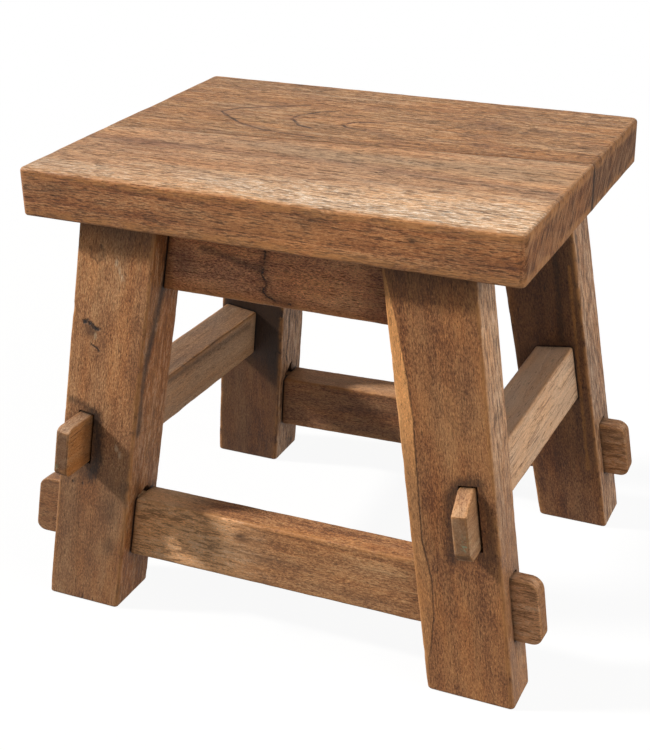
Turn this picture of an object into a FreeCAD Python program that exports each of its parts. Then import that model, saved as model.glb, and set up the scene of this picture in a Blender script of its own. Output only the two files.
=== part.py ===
import FreeCAD, Part
import math
import os

# A small solid-wood stool with four legs that splay outwards both ways.
# The origin lies on the floor in the middle of the whole footprint, tenon ends
# included. +X runs along the seat, -Y is the front and +Z is up. All lengths
# are in millimetres. The pieces are first drawn around the middle of the seat
# and then moved together to that origin.

# Overall size
seat_length = 400.0
seat_depth = 308.0
seat_thickness = 38.0
stool_height = 377.0

# Seat: two planks with a slightly slanted glue joint
front_plank_width_left = 126.0
front_plank_width_right = 168.0
seat_corner_round = 5.0
seat_top_round = 3.0
seat_bottom_round = 2.0

# Wooden pins in the glue joint between the two planks
joint_pin_diameter = 8.0
joint_pin_length = 48.0
joint_pin_place_shares = (-0.34, 0.0, 0.34)

# Legs: straight timbers that lean out along X and along Y. They were hewn by
# hand and set by eye, so each has its own width along X and thickness along Y,
# at the top and at the foot. At the top the outer faces are inset from the
# seat's ends and long edges, and from there they run outwards to the floor.
leg_inset_from_edge = 15.0
leg_run_out_y = 26.0
leg_run_out_x = 48.0
leg_inset_from_end = 42.0
leg_timbers = {
    "leg_front_left": {
        "width_top": 67.0,
        "width_foot": 67.0,
        "thickness_top": 48.0,
        "thickness_foot": 49.0,
        "inset_from_end": leg_inset_from_end,
        "run_out_x": 51.0,
        "run_out_y": 27.0,
    },
    "leg_front_right": {
        "width_top": 71.0,
        "width_foot": 70.0,
        "thickness_top": 35.5,
        "thickness_foot": 39.0,
        "inset_from_end": 39.0,
        "run_out_x": leg_run_out_x,
        "run_out_y": 25.0,
    },
    "leg_rear_left": {
        "width_top": 66.0,
        "width_foot": 65.0,
        "thickness_top": 45.0,
        "thickness_foot": 46.0,
        "inset_from_end": leg_inset_from_end,
        "run_out_x": 39.5,
        "run_out_y": 23.0,
    },
    "leg_rear_right": {
        "width_top": 69.0,
        "width_foot": 63.0,
        "thickness_top": 46.0,
        "thickness_foot": 46.0,
        "inset_from_end": leg_inset_from_end,
        "run_out_x": leg_run_out_x,
        "run_out_y": leg_run_out_y,
    },
}
leg_arris_round = 2.0
foot_chamfer = 1.5

# Upright pins that hold the seat on the legs
seat_pin_diameter = 10.0
seat_pin_in_leg = 28.0
seat_pin_in_seat = 22.0

# Aprons under the long edges of the seat, with stub tenons hidden in the legs
apron_height = 55.0
apron_thickness = 17.0
apron_inset = 20.0
apron_arris_round = 2.0
apron_tenon_length = 22.0
apron_tenon_thickness = 8.0
apron_tenon_shoulder_top = 14.0
apron_tenon_shoulder_bottom = 8.0

# Front and rear stretchers. None of the stretchers lies quite level: a rise is
# how much higher one end is than the other between the legs' outer faces, and a
# fall how much lower.
long_stretcher_thickness = 28.0
long_stretcher_inset = 12.0
long_tenon_thickness = 15.0
long_tenon_inset = 15.5
front_stretcher_height = 53.0
front_stretcher_middle = 75.6
front_stretcher_rise_to_right = 3.2
rear_stretcher_height = 52.0
rear_stretcher_middle = 72.8
rear_stretcher_fall_to_left = 10.0

# Side stretchers, which sit higher and are of two different timbers. The right
# one's underside is hewn away between the legs, deeper towards the front.
left_stretcher_height = 45.5
left_stretcher_thickness = 32.0
left_stretcher_inset = 9.5
left_tenon_thickness = 12.0
left_tenon_inset = 13.0
left_stretcher_middle = 152.2
left_stretcher_rise_to_front = 9.0
right_stretcher_height = 52.0
right_stretcher_thickness = 34.0
right_stretcher_inset = 11.5
right_stretcher_hewn_at_front = 11.0
right_tenon_thickness = 12.5
right_tenon_inset = 12.0
right_stretcher_middle = 157.5
right_stretcher_rise_to_rear = 4.0

# Shared by the four stretchers
stretcher_arris_round = 2.0
tenon_shoulder = 1.0
tenon_arris_chamfer = 1.0

# How far the through tenons stand out of the legs. They were trimmed by hand,
# so each end has its own length.
front_tenon_out_left = 29.0
front_tenon_out_right = 22.0
rear_tenon_out_left = 6.0
rear_tenon_out_right = 23.0
left_tenon_out_front = 33.0
right_tenon_out_front = 21.0
side_tenon_out_rear = 18.0

# How the ends of those tenons are worked
long_tenon_corner_round = 9.0
short_tenon_corner_round = 3.0
side_tenon_corner_round = 7.0
left_tenon_slope_run = 4.0
left_tenon_slope_fall = 3.0
right_tenon_slope_run = 18.0
right_tenon_slope_fall = 12.0
right_tenon_bevel_run = 6.0
right_tenon_bevel_fall = 8.0

# Fits
mortise_clearance = 0.2
mortise_end_clearance = 0.5
pin_clearance = 0.15
overrun = 30.0

# Directions and levels count as the same within this share of a length
same_share = 0.001

# Sizes that follow from those above
seat_underside = stool_height - seat_thickness
half_spread_top_y = seat_depth / 2 - leg_inset_from_edge

ORIGIN = FreeCAD.Vector(0, 0, 0)
AXIS_X = FreeCAD.Vector(1, 0, 0)
AXIS_Y = FreeCAD.Vector(0, 1, 0)
AXIS_Z = FreeCAD.Vector(0, 0, 1)


def prism(points, direction):
    """A closed flat outline, pushed along a direction."""
    wire = Part.makePolygon(points + points[:1])
    return Part.Face(wire).extrude(direction)


def edges_along(shape, direction):
    """The straight edges of a shape that run along a direction."""
    unit = FreeCAD.Vector(direction).normalize()
    found = []
    for edge in shape.Edges:
        run = edge.lastVertex().Point - edge.firstVertex().Point
        if run.Length > 0 and run.cross(unit).Length < same_share * run.Length:
            found.append(edge)
    return found


def edges_at_height(shape, height):
    """The edges of a shape that lie in one level plane."""
    found = []
    for edge in shape.Edges:
        box = edge.BoundBox
        if abs(box.ZMin - height) + abs(box.ZMax - height) < same_share * stool_height:
            found.append(edge)
    return found


def faces_across(spread_top, run_out, size_top=0, size_foot=0):
    """How a leg's outer and inner face across one axis run from the seat to the floor."""
    return {
        "foot": spread_top + run_out,
        "splay": run_out / seat_underside,
        "size_top": size_top,
        "size_foot": size_foot,
    }


def outer_face(faces, z):
    """Distance from the middle of the stool to the outer leg faces at a height."""
    return faces["foot"] - faces["splay"] * z


def inner_face(faces, z):
    """Distance from the middle of the stool to the inner leg faces at a height."""
    growth = (faces["size_top"] - faces["size_foot"]) / seat_underside
    return outer_face(faces, z) - faces["size_foot"] - growth * z


def middle_at(faces, z):
    """Distance from the middle of the stool to the middle of the leg at a height."""
    return (outer_face(faces, z) + inner_face(faces, z)) / 2


def set_leg(side_x, side_y, timber):
    """Where one leg stands: its side along each axis and its faces across each."""
    spread_top_x = seat_length / 2 - timber["inset_from_end"]
    return {
        "side_x": side_x,
        "side_y": side_y,
        "x": faces_across(
            spread_top_x, timber["run_out_x"], timber["width_top"], timber["width_foot"]
        ),
        "y": faces_across(
            half_spread_top_y,
            timber["run_out_y"],
            timber["thickness_top"],
            timber["thickness_foot"],
        ),
    }


# The planes that the aprons and stretchers are set out from
common_x = faces_across(seat_length / 2 - leg_inset_from_end, leg_run_out_x)
common_y = faces_across(half_spread_top_y, leg_run_out_y)

front_left = set_leg(-1, -1, leg_timbers["leg_front_left"])
front_right = set_leg(1, -1, leg_timbers["leg_front_right"])
rear_left = set_leg(-1, 1, leg_timbers["leg_rear_left"])
rear_right = set_leg(1, 1, leg_timbers["leg_rear_right"])
legs = {
    "leg_front_left": front_left,
    "leg_front_right": front_right,
    "leg_rear_left": rear_left,
    "leg_rear_right": rear_right,
}


def seat_panel():
    """The seat as one panel, before it is divided into its two planks."""
    corner = FreeCAD.Vector(-seat_length / 2, -seat_depth / 2, seat_underside)
    panel = Part.makeBox(seat_length, seat_depth, seat_thickness, corner)
    panel = panel.makeFillet(seat_corner_round, edges_along(panel, AXIS_Z))
    panel = panel.makeFillet(seat_top_round, edges_at_height(panel, stool_height))
    return panel.makeFillet(seat_bottom_round, edges_at_height(panel, seat_underside))


def joint_y(x):
    """Where the glue joint between the planks lies at a place along the seat."""
    left = front_plank_width_left - seat_depth / 2
    right = front_plank_width_right - seat_depth / 2
    return left + (right - left) * (x / seat_length + 1 / 2)


def space_before_joint():
    """Everything in front of the glue joint, as a block through the seat's height."""
    far_left = -seat_length / 2 - overrun
    far_right = seat_length / 2 + overrun
    low = seat_underside - overrun
    points = [
        FreeCAD.Vector(far_left, -seat_depth / 2 - overrun, low),
        FreeCAD.Vector(far_right, -seat_depth / 2 - overrun, low),
        FreeCAD.Vector(far_right, joint_y(far_right), low),
        FreeCAD.Vector(far_left, joint_y(far_left), low),
    ]
    return prism(points, AXIS_Z * (seat_thickness + 2 * overrun))


def joint_pin(place_share, clearance, end_clearance):
    """A pin across the glue joint, or its hole when the clearances are given."""
    x = place_share * seat_length
    length = joint_pin_length + 2 * end_clearance
    middle_height = seat_underside + seat_thickness / 2
    start = FreeCAD.Vector(x, joint_y(x) - length / 2, middle_height)
    return Part.makeCylinder(joint_pin_diameter / 2 + clearance, length, start, AXIS_Y)


def seat_pin(stance, clearance, end_clearance):
    """An upright pin from a leg into the seat, or its hole."""
    x = stance["side_x"] * middle_at(stance["x"], seat_underside)
    y = stance["side_y"] * middle_at(stance["y"], seat_underside)
    length = seat_pin_in_leg + seat_pin_in_seat + 2 * end_clearance
    start = FreeCAD.Vector(x, y, seat_underside - seat_pin_in_leg - end_clearance)
    return Part.makeCylinder(seat_pin_diameter / 2 + clearance, length, start, AXIS_Z)


def face_places(side, faces, z):
    """Where a leg's two faces across one axis lie at a height, the lower place first."""
    return sorted((side * outer_face(faces, z), side * inner_face(faces, z)))


def leg_timber(stance):
    """A leg before its mortises are cut, level at the foot and at the top."""
    rings = []
    for z in (0, seat_underside):
        low_x, high_x = face_places(stance["side_x"], stance["x"], z)
        low_y, high_y = face_places(stance["side_y"], stance["y"], z)
        places = ((high_x, low_y), (low_x, low_y), (low_x, high_y), (high_x, high_y))
        rings.append([FreeCAD.Vector(x, y, z) for x, y in places])
    foot, top = rings
    outlines = [foot, top]
    for i in range(len(foot)):
        outlines.append([foot[i - 1], foot[i], top[i], top[i - 1]])
    sides = [Part.Face(Part.makePolygon(outline + outline[:1])) for outline in outlines]
    timber = Part.Solid(Part.Shell(sides))
    upright = [edge for edge in timber.Edges if edge.BoundBox.ZLength > seat_underside / 2]
    timber = timber.makeFillet(leg_arris_round, upright)
    return timber.makeChamfer(foot_chamfer, edges_at_height(timber, 0))


def between_faces(start, end, out):
    """The space along X between the inner faces of two legs, up to the seat.

    The out moves its two slanting ends outwards.
    """
    low = -overrun
    high = seat_underside
    wide = seat_depth + seat_length
    points = [
        FreeCAD.Vector(-inner_face(start, low) - out, -wide, low),
        FreeCAD.Vector(inner_face(end, low) + out, -wide, low),
        FreeCAD.Vector(inner_face(end, high) + out, -wide, high),
        FreeCAD.Vector(-inner_face(start, high) - out, -wide, high),
    ]
    return prism(points, AXIS_Y * (2 * wide))


def bar(length, inset, thickness, low, high):
    """An upright bar along X whose outer face is inset from y = 0."""
    corner = FreeCAD.Vector(-length / 2, inset, low)
    return Part.makeBox(length, thickness, high - low, corner)


def lean(shape, across, middle, tilt=0):
    """Bring a bar made at y = 0 and z = 0 under the front of the stool.

    It is tilted until its +X end is the higher one and tipped until it is square
    to the leaning leg faces, and y = 0 comes to lie in their outer faces.
    """
    placed = shape.copy()
    placed.rotate(ORIGIN, AXIS_Y, -math.degrees(tilt))
    placed.rotate(ORIGIN, AXIS_X, -math.degrees(math.atan(across["splay"])))
    placed.translate(FreeCAD.Vector(0, -outer_face(across, middle), middle))
    return placed


def turn(shape, degrees):
    """Turn a member from the front of the stool to its own side."""
    placed = shape.copy()
    placed.rotate(ORIGIN, AXIS_Z, degrees)
    return placed


def set_member(shape, member):
    """Bring a shape drawn in a stretcher's own frame to its place in the stool."""
    start = outer_face(member["start"]["faces"], member["middle"])
    end = outer_face(member["end"]["faces"], member["middle"])
    tilt = math.atan(member["rise"] / (start + end))
    return turn(lean(shape, member["across"], member["middle"], tilt), member["turn"])


def rounded_wire(corners):
    """A closed wire in XZ through corners (x, z, radius); radius 0 stays sharp."""
    points = [FreeCAD.Vector(x, 0, z) for x, z, radius in corners]
    starts = []
    ends = []
    arcs = []
    for i, (x, z, radius) in enumerate(corners):
        before = (points[i - 1] - points[i]).normalize()
        after = (points[(i + 1) % len(points)] - points[i]).normalize()
        half_angle = before.getAngle(after) / 2
        reach = radius / math.tan(half_angle)
        bisector = (before + after).normalize()
        middle = points[i] + bisector * (radius / math.sin(half_angle) - radius)
        starts.append(points[i] + before * reach)
        ends.append(points[i] + after * reach)
        arcs.append(Part.Arc(starts[i], middle, ends[i]).toShape() if radius > 0 else None)
    edges = []
    for i, arc in enumerate(arcs):
        if arc is not None:
            edges.append(arc)
        edges.append(Part.makeLine(ends[i], starts[(i + 1) % len(points)]))
    return Part.Wire(edges)


def round_corner(radius):
    """A tenon corner worked round."""
    return {"kind": "round", "radius": radius}


def sloped_corner(run, fall):
    """A tenon corner cut off at a slope."""
    return {"kind": "slope", "run": run, "fall": fall}


def corner_points(side, end_at, level, up, work):
    """Outline corners of one worked tenon corner, from the long side to the end."""
    if work["kind"] == "round":
        return [(side * end_at(level), level, work["radius"])]
    low = level - up * work["fall"]
    return [(side * (end_at(level) - work["run"]), level, 0), (side * end_at(low), low, 0)]


def through_tenon(member):
    """The long tenon that runs through a stretcher and out of both legs."""
    half = member["height"] / 2 - tenon_shoulder
    corners = []
    for side, end in ((-1, member["start"]), (1, member["end"])):

        def end_at(z):
            level = member["middle"] + side * member["rise"] / 2 + z
            return outer_face(end["faces"], level) + end["out"]

        low = corner_points(side, end_at, -half, -1, end["bottom"])
        high = corner_points(side, end_at, half, 1, end["top"])
        if side < 0:
            corners += high + low[::-1]
        else:
            corners += low + high[::-1]
    profile = Part.Face(rounded_wire(corners))
    profile.translate(AXIS_Y * member["tenon_inset"])
    tenon = profile.extrude(AXIS_Y * member["tenon_thickness"])
    return tenon.makeChamfer(tenon_arris_chamfer, tenon.Edges)


def hewn_wedge(member):
    """What is hewn off a stretcher's underside, deepest at its start."""
    half = member["height"] / 2
    start = FreeCAD.Vector(-outer_face(member["start"]["faces"], member["middle"]), 0, -half)
    end = FreeCAD.Vector(outer_face(member["end"]["faces"], member["middle"]), 0, -half)
    corners = [start, end, start + AXIS_Z * member["hewn"]]
    return prism(corners, AXIS_Y * (member["inset"] + member["thickness"] + overrun))


def stretcher(member):
    """A stretcher with its shoulders against the legs and its tenons through them."""
    half = member["height"] / 2
    body = bar(2 * seat_length, member["inset"], member["thickness"], -half, half)
    body = body.makeFillet(stretcher_arris_round, edges_along(body, AXIS_X))
    room = between_faces(member["start"]["faces"], member["end"]["faces"], 0)
    room = turn(room, member["turn"])
    body = set_member(body, member).common(room)
    timber = body.fuse(set_member(through_tenon(member), member))
    if member["hewn"] > 0:
        timber = timber.cut(set_member(hewn_wedge(member), member).common(room))
    return timber.Solids[0]


def through_mortise(member):
    """The passage that a stretcher's tenon takes through its two legs."""
    half = member["height"] / 2 - tenon_shoulder + mortise_clearance
    thickness = member["tenon_thickness"] + 2 * mortise_clearance
    inset = member["tenon_inset"] - mortise_clearance
    return set_member(bar(2 * seat_length, inset, thickness, -half, half), member)


def apron_tenons(start, end, clearance, end_clearance):
    """The stub tenons of an apron, or their mortises when clearances are given."""
    low = apron_tenon_shoulder_bottom - apron_height / 2 - clearance
    high = apron_height / 2 - apron_tenon_shoulder_top + clearance
    inset = apron_inset + (apron_thickness - apron_tenon_thickness) / 2 - clearance
    stub = bar(2 * seat_length, inset, apron_tenon_thickness + 2 * clearance, low, high)
    stub = lean(stub, common_y, seat_underside - apron_height / 2)
    return stub.common(between_faces(start, end, apron_tenon_length + end_clearance))


def apron(start, end):
    """An apron, bevelled along its top so that it lies flat under the seat."""
    middle = seat_underside - apron_height / 2
    top = apron_height / 2 + apron_thickness
    body = bar(2 * seat_length, apron_inset, apron_thickness, -apron_height / 2, top)
    body = body.makeFillet(apron_arris_round, edges_along(body, AXIS_X))
    body = lean(body, common_y, middle)
    body = body.common(between_faces(start, end, 0))
    return body.fuse(apron_tenons(start, end, 0, 0)).Solids[0]


long_member = {
    "across": common_y,
    "hewn": 0,
    "thickness": long_stretcher_thickness,
    "inset": long_stretcher_inset,
    "tenon_thickness": long_tenon_thickness,
    "tenon_inset": long_tenon_inset,
}


def worked_end(faces, out, top, bottom):
    """How one end of a through tenon comes out of its leg."""
    return {"faces": faces, "out": out, "top": top, "bottom": bottom}


long_corner = round_corner(long_tenon_corner_round)
short_corner = round_corner(short_tenon_corner_round)
side_corner = round_corner(side_tenon_corner_round)
members = {
    "stretcher_front": dict(
        long_member,
        turn=0,
        height=front_stretcher_height,
        middle=front_stretcher_middle,
        rise=front_stretcher_rise_to_right,
        start=worked_end(front_left["x"], front_tenon_out_left, long_corner, long_corner),
        end=worked_end(front_right["x"], front_tenon_out_right, long_corner, long_corner),
    ),
    "stretcher_right": dict(
        turn=90,
        across=common_x,
        height=right_stretcher_height,
        thickness=right_stretcher_thickness,
        inset=right_stretcher_inset,
        tenon_thickness=right_tenon_thickness,
        tenon_inset=right_tenon_inset,
        middle=right_stretcher_middle,
        rise=right_stretcher_rise_to_rear,
        hewn=right_stretcher_hewn_at_front,
        start=worked_end(
            front_right["y"],
            right_tenon_out_front,
            sloped_corner(right_tenon_slope_run, right_tenon_slope_fall),
            sloped_corner(right_tenon_bevel_run, right_tenon_bevel_fall),
        ),
        end=worked_end(rear_right["y"], side_tenon_out_rear, side_corner, side_corner),
    ),
    "stretcher_rear": dict(
        long_member,
        turn=180,
        height=rear_stretcher_height,
        middle=rear_stretcher_middle,
        rise=-rear_stretcher_fall_to_left,
        start=worked_end(rear_right["x"], rear_tenon_out_right, long_corner, long_corner),
        end=worked_end(rear_left["x"], rear_tenon_out_left, short_corner, short_corner),
    ),
    "stretcher_left": dict(
        turn=270,
        across=common_x,
        height=left_stretcher_height,
        thickness=left_stretcher_thickness,
        inset=left_stretcher_inset,
        tenon_thickness=left_tenon_thickness,
        tenon_inset=left_tenon_inset,
        middle=left_stretcher_middle,
        rise=left_stretcher_rise_to_front,
        hewn=0,
        start=worked_end(rear_left["y"], side_tenon_out_rear, side_corner, side_corner),
        end=worked_end(
            front_left["y"],
            left_tenon_out_front,
            sloped_corner(left_tenon_slope_run, left_tenon_slope_fall),
            side_corner,
        ),
    ),
}


aprons = {
    "apron_front": {"start": front_left["x"], "end": front_right["x"], "turn": 0},
    "apron_rear": {"start": rear_right["x"], "end": rear_left["x"], "turn": 180},
}


def leg(stance):
    """A leg with its mortises and the hole for its seat pin."""
    cuts = [through_mortise(member) for member in members.values()]
    for rail in aprons.values():
        stubs = apron_tenons(
            rail["start"], rail["end"], mortise_clearance, mortise_end_clearance
        )
        cuts.append(turn(stubs, rail["turn"]))
    cuts.append(seat_pin(stance, pin_clearance, mortise_end_clearance))
    return leg_timber(stance).cut(cuts).Solids[0]


def seat_planks():
    """The front and the rear plank, with the holes for all their pins."""
    panel = seat_panel()
    front_space = space_before_joint()
    holes = []
    for place_share in joint_pin_place_shares:
        holes.append(joint_pin(place_share, pin_clearance, mortise_end_clearance))
    for stance in legs.values():
        holes.append(seat_pin(stance, pin_clearance, mortise_end_clearance))
    front = panel.common(front_space).cut(holes).Solids[0]
    rear = panel.cut(front_space).cut(holes).Solids[0]
    return front, rear


def build_nodes():
    """Every node of the stool with its solids."""
    nodes = {}
    nodes["seat_board_front"], nodes["seat_board_rear"] = seat_planks()
    joint_pins = [joint_pin(place_share, 0, 0) for place_share in joint_pin_place_shares]
    nodes["seat_joint_pins"] = Part.makeCompound(joint_pins)
    seat_pins = [seat_pin(stance, 0, 0) for stance in legs.values()]
    nodes["seat_leg_pins"] = Part.makeCompound(seat_pins)
    for name, stance in legs.items():
        nodes[name] = leg(stance)
    for name, rail in aprons.items():
        nodes[name] = turn(apron(rail["start"], rail["end"]), rail["turn"])
    for name, member in members.items():
        nodes[name] = stretcher(member)
    return nodes


def to_footprint_middle(nodes):
    """The nodes moved together so that the middle of their footprint is at the origin."""
    middle = Part.makeCompound(list(nodes.values())).BoundBox.Center
    shift = FreeCAD.Vector(-middle.x, -middle.y, 0)
    return {name: shape.translated(shift) for name, shape in nodes.items()}


os.makedirs("parts", exist_ok=True)
for node_name, node_shape in to_footprint_middle(build_nodes()).items():
    node_shape.exportStep("parts/" + node_name + ".step")
    print(node_name, node_shape.isValid(), len(node_shape.Solids), round(node_shape.Volume))
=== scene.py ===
import math

import bpy
from mathutils import Matrix, Vector, noise
from mathutils.bvhtree import BVHTree


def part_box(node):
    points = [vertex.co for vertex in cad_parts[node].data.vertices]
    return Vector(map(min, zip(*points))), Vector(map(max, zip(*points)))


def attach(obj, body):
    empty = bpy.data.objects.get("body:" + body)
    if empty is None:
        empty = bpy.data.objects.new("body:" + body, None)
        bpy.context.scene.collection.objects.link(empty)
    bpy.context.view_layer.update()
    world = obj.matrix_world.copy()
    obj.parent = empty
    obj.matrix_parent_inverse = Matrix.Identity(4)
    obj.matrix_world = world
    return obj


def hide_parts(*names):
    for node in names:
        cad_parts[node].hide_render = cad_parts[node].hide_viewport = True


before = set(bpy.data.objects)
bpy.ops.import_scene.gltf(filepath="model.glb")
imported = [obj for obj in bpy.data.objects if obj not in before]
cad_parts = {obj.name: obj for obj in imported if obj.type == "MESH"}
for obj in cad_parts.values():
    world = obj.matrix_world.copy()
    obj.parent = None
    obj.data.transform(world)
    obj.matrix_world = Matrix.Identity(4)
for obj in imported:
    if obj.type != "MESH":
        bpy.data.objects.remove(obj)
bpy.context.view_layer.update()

# The timbers of a splayed-leg stool, worked in millimetres around the middle of
# its seat and then set into the frame. X runs along the seat and -Y is the front.

# Sizes in millimetres, apart from MM, which turns them into metres
MM = 0.001
HALF_LENGTH = 200.0
HALF_DEPTH = 154.0
THICKNESS = 38.0
HEIGHT = 377.0
UNDERSIDE = HEIGHT - THICKNESS
JOINT_LEFT = -28.0
JOINT_RIGHT = 14.0

# Worn arrises and corners
CORNER_STEPS = 4
WORN_REACH = 1.6
SEAT_CORNER = 5.0
TOP_ARRIS = 3.4
BOTTOM_ARRIS = 2.2
LEG_ARRIS = 1.9
FOOT_ARRIS = 2.4
TIP_ARRIS = 1.5
# Where a tenon's tip is drawn out closely, behind its end
TIP_DEPTHS = (0.0, 0.2, 0.5, 0.9, 1.5, 2.3, 3.4, 4.8, 6.5, 8.5, 11.0, 14.0, 18.0)
# Sections of an apron or stretcher between its shoulders
BODY_STEPS = 58
# Across a leg, from inside the timber to past its inner side
SPLINTER_DEPTHS = (26.0, 37.0)
# How far the mortise of an apron's stub goes into a leg
STUB_MORTISE = 22.6

seat_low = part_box("seat_board_front")[0]
MIDDLE = Vector((seat_low.x + HALF_LENGTH * MM, seat_low.y + HALF_DEPTH * MM, 0))


def faces_across(spread_top, run_out, size_top=0.0, size_foot=0.0):
    """How a leg's outer and inner face across one axis run from the seat to the floor."""
    return {
        "foot": spread_top + run_out,
        "splay": run_out / UNDERSIDE,
        "size": size_foot,
        "growth": (size_top - size_foot) / UNDERSIDE,
    }


# The planes that the rails are set out from, across X and across Y
COMMON_X = faces_across(158.0, 48.0)
COMMON_Y = faces_across(139.0, 26.0)
# Where each leg stands, as (side in X, side in Y, its faces across X, its faces across Y)
STANCES = {
    node_name: (side_x, side_y, faces_across(*own_x), faces_across(*own_y))
    for node_name, side_x, side_y, own_x, own_y in (
        ("leg_front_left", -1, -1, (158.0, 51.0, 67.0, 67.0), (139.0, 27.0, 48.0, 49.0)),
        ("leg_front_right", 1, -1, (161.0, 48.0, 71.0, 70.0), (139.0, 25.0, 35.5, 39.0)),
        ("leg_rear_left", -1, 1, (158.0, 39.5, 66.0, 65.0), (139.0, 23.0, 45.0, 46.0)),
        ("leg_rear_right", 1, 1, (158.0, 48.0, 69.0, 63.0), (139.0, 26.0, 46.0, 46.0)),
    )
}


def outer_face(faces, z):
    """Distance from the stool's middle to the outer faces of the legs at a height."""
    return faces["foot"] - faces["splay"] * z


def leg_size(faces, z):
    return faces["size"] + faces["growth"] * z


def inner_face(faces, z):
    """Distance from the stool's middle to the inner faces of the legs at a height."""
    return outer_face(faces, z) - leg_size(faces, z)


def between(a, b, share):
    return a + (b - a) * share


def wander(x, y, z, size, seed):
    """Slow unevenness of hand-worked timber, from -1 to 1."""
    place = Vector((x / size + seed * 7.3, y / size - seed * 3.1, z / size + seed * 5.7))
    return noise.noise(place)


def rounded_inset(radius, depth):
    """How far a face draws back at a depth behind a rounded edge."""
    if depth >= radius:
        return 0.0
    return radius - math.sqrt(radius * radius - (radius - depth) ** 2)


def section(y0, y1, z0, z1, rounds, steps_y, steps_z):
    """A rectangle with four rounded corners, as points (y, z, worn)."""
    centres = (
        (y0 + rounds[0], z0 + rounds[0], 180),
        (y1 - rounds[1], z0 + rounds[1], 270),
        (y1 - rounds[2], z1 - rounds[2], 0),
        (y0 + rounds[3], z1 - rounds[3], 90),
    )
    arcs = []
    for (middle_y, middle_z, start), radius in zip(centres, rounds):
        arc = []
        for step in range(CORNER_STEPS + 1):
            angle = math.radians(start + 90 * step / CORNER_STEPS)
            y = middle_y + radius * math.cos(angle)
            z = middle_z + radius * math.sin(angle)
            arc.append((y, z, 1.0))
        arcs.append(arc)
    points = []
    for i, arc in enumerate(arcs):
        points += arc
        first, last = arc[-1], arcs[(i + 1) % 4][0]
        run = math.hypot(last[0] - first[0], last[1] - first[1])
        steps = steps_y if i % 2 == 0 else steps_z
        for step in range(1, steps):
            share = step / steps
            share -= 0.09 * math.sin(2 * math.pi * share)
            from_arris = min(share, 1 - share) * run
            worn = math.exp(-from_arris / WORN_REACH)
            y = between(first[0], last[0], share)
            z = between(first[1], last[1], share)
            points.append((y, z, worn))
    return points


def band(low, high, count, turned=False):
    """Faces between two rings of points, numbered from low and from high on."""
    quads = []
    for i in range(count):
        j = (i + 1) % count
        quad = (low + i, low + j, high + j, high + i)
        quads.append(quad[::-1] if turned else quad)
    return quads


def skin(rings):
    """Points, faces and wear of a closed body that runs through rings of equal count."""
    count = len(rings[0])
    points = [point for ring in rings for point, worn in ring]
    wear = [worn for ring in rings for point, worn in ring]
    faces = []
    last_ring = (len(rings) - 1) * count
    for low in range(0, last_ring, count):
        faces += band(low, low + count, count)
    for ring, rim, turned in ((rings[0], 0, True), (rings[-1], last_ring, False)):
        middle = sum((point for point, worn in ring), Vector((0, 0, 0))) / count
        for share in (0.86, 0.66, 0.44, 0.22):
            inner = len(points)
            points += [between(middle, point, share) for point, worn in ring]
            wear += [worn * max(0.0, share * 6 - 5) for point, worn in ring]
            faces += band(rim, inner, count, turned)
            rim = inner
        points.append(middle)
        wear.append(0.0)
        for i in range(count):
            corner = (rim + i, rim + (i + 1) % count, len(points) - 1)
            faces.append(corner[::-1] if turned else corner)
    return points, faces, wear


def make_piece(name, body, matrix):
    """A mesh object from points in millimetres, set in the frame by its matrix."""
    points, faces, wear = body
    mesh = bpy.data.meshes.new(name)
    mesh.from_pydata([point * MM for point in points], [], faces)
    worn = mesh.attributes.new("worn", "FLOAT", "POINT")
    worn.data.foreach_set("value", wear)
    mesh.validate()
    mesh.update()
    piece = bpy.data.objects.new(name, mesh)
    bpy.context.scene.collection.objects.link(piece)
    piece.matrix_world = matrix
    return piece


def cut(piece, cutters):
    """Cut mortises and splinters out of a timber."""
    for cutter in cutters:
        saw = piece.modifiers.new(cutter.name, "BOOLEAN")
        saw.operation = "DIFFERENCE"
        saw.solver = "EXACT"
        saw.object = cutter
    bpy.context.view_layer.update()
    worked = piece.evaluated_get(bpy.context.evaluated_depsgraph_get())
    mesh = bpy.data.meshes.new_from_object(worked)
    piece.modifiers.clear()
    piece.data = mesh
    for cutter in cutters:
        bpy.data.objects.remove(cutter)


# Seat planks


def joint_y(x):
    """Where the glue joint lies at a place along the seat."""
    return between(JOINT_LEFT, JOINT_RIGHT, (x + HALF_LENGTH) / (2 * HALF_LENGTH))


def opened(x):
    """How far the glue joint has opened at a place along the seat: near 0 where it is tight."""
    return min(1.0, max(0.12, (x + 155.0) / 45.0))


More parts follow.
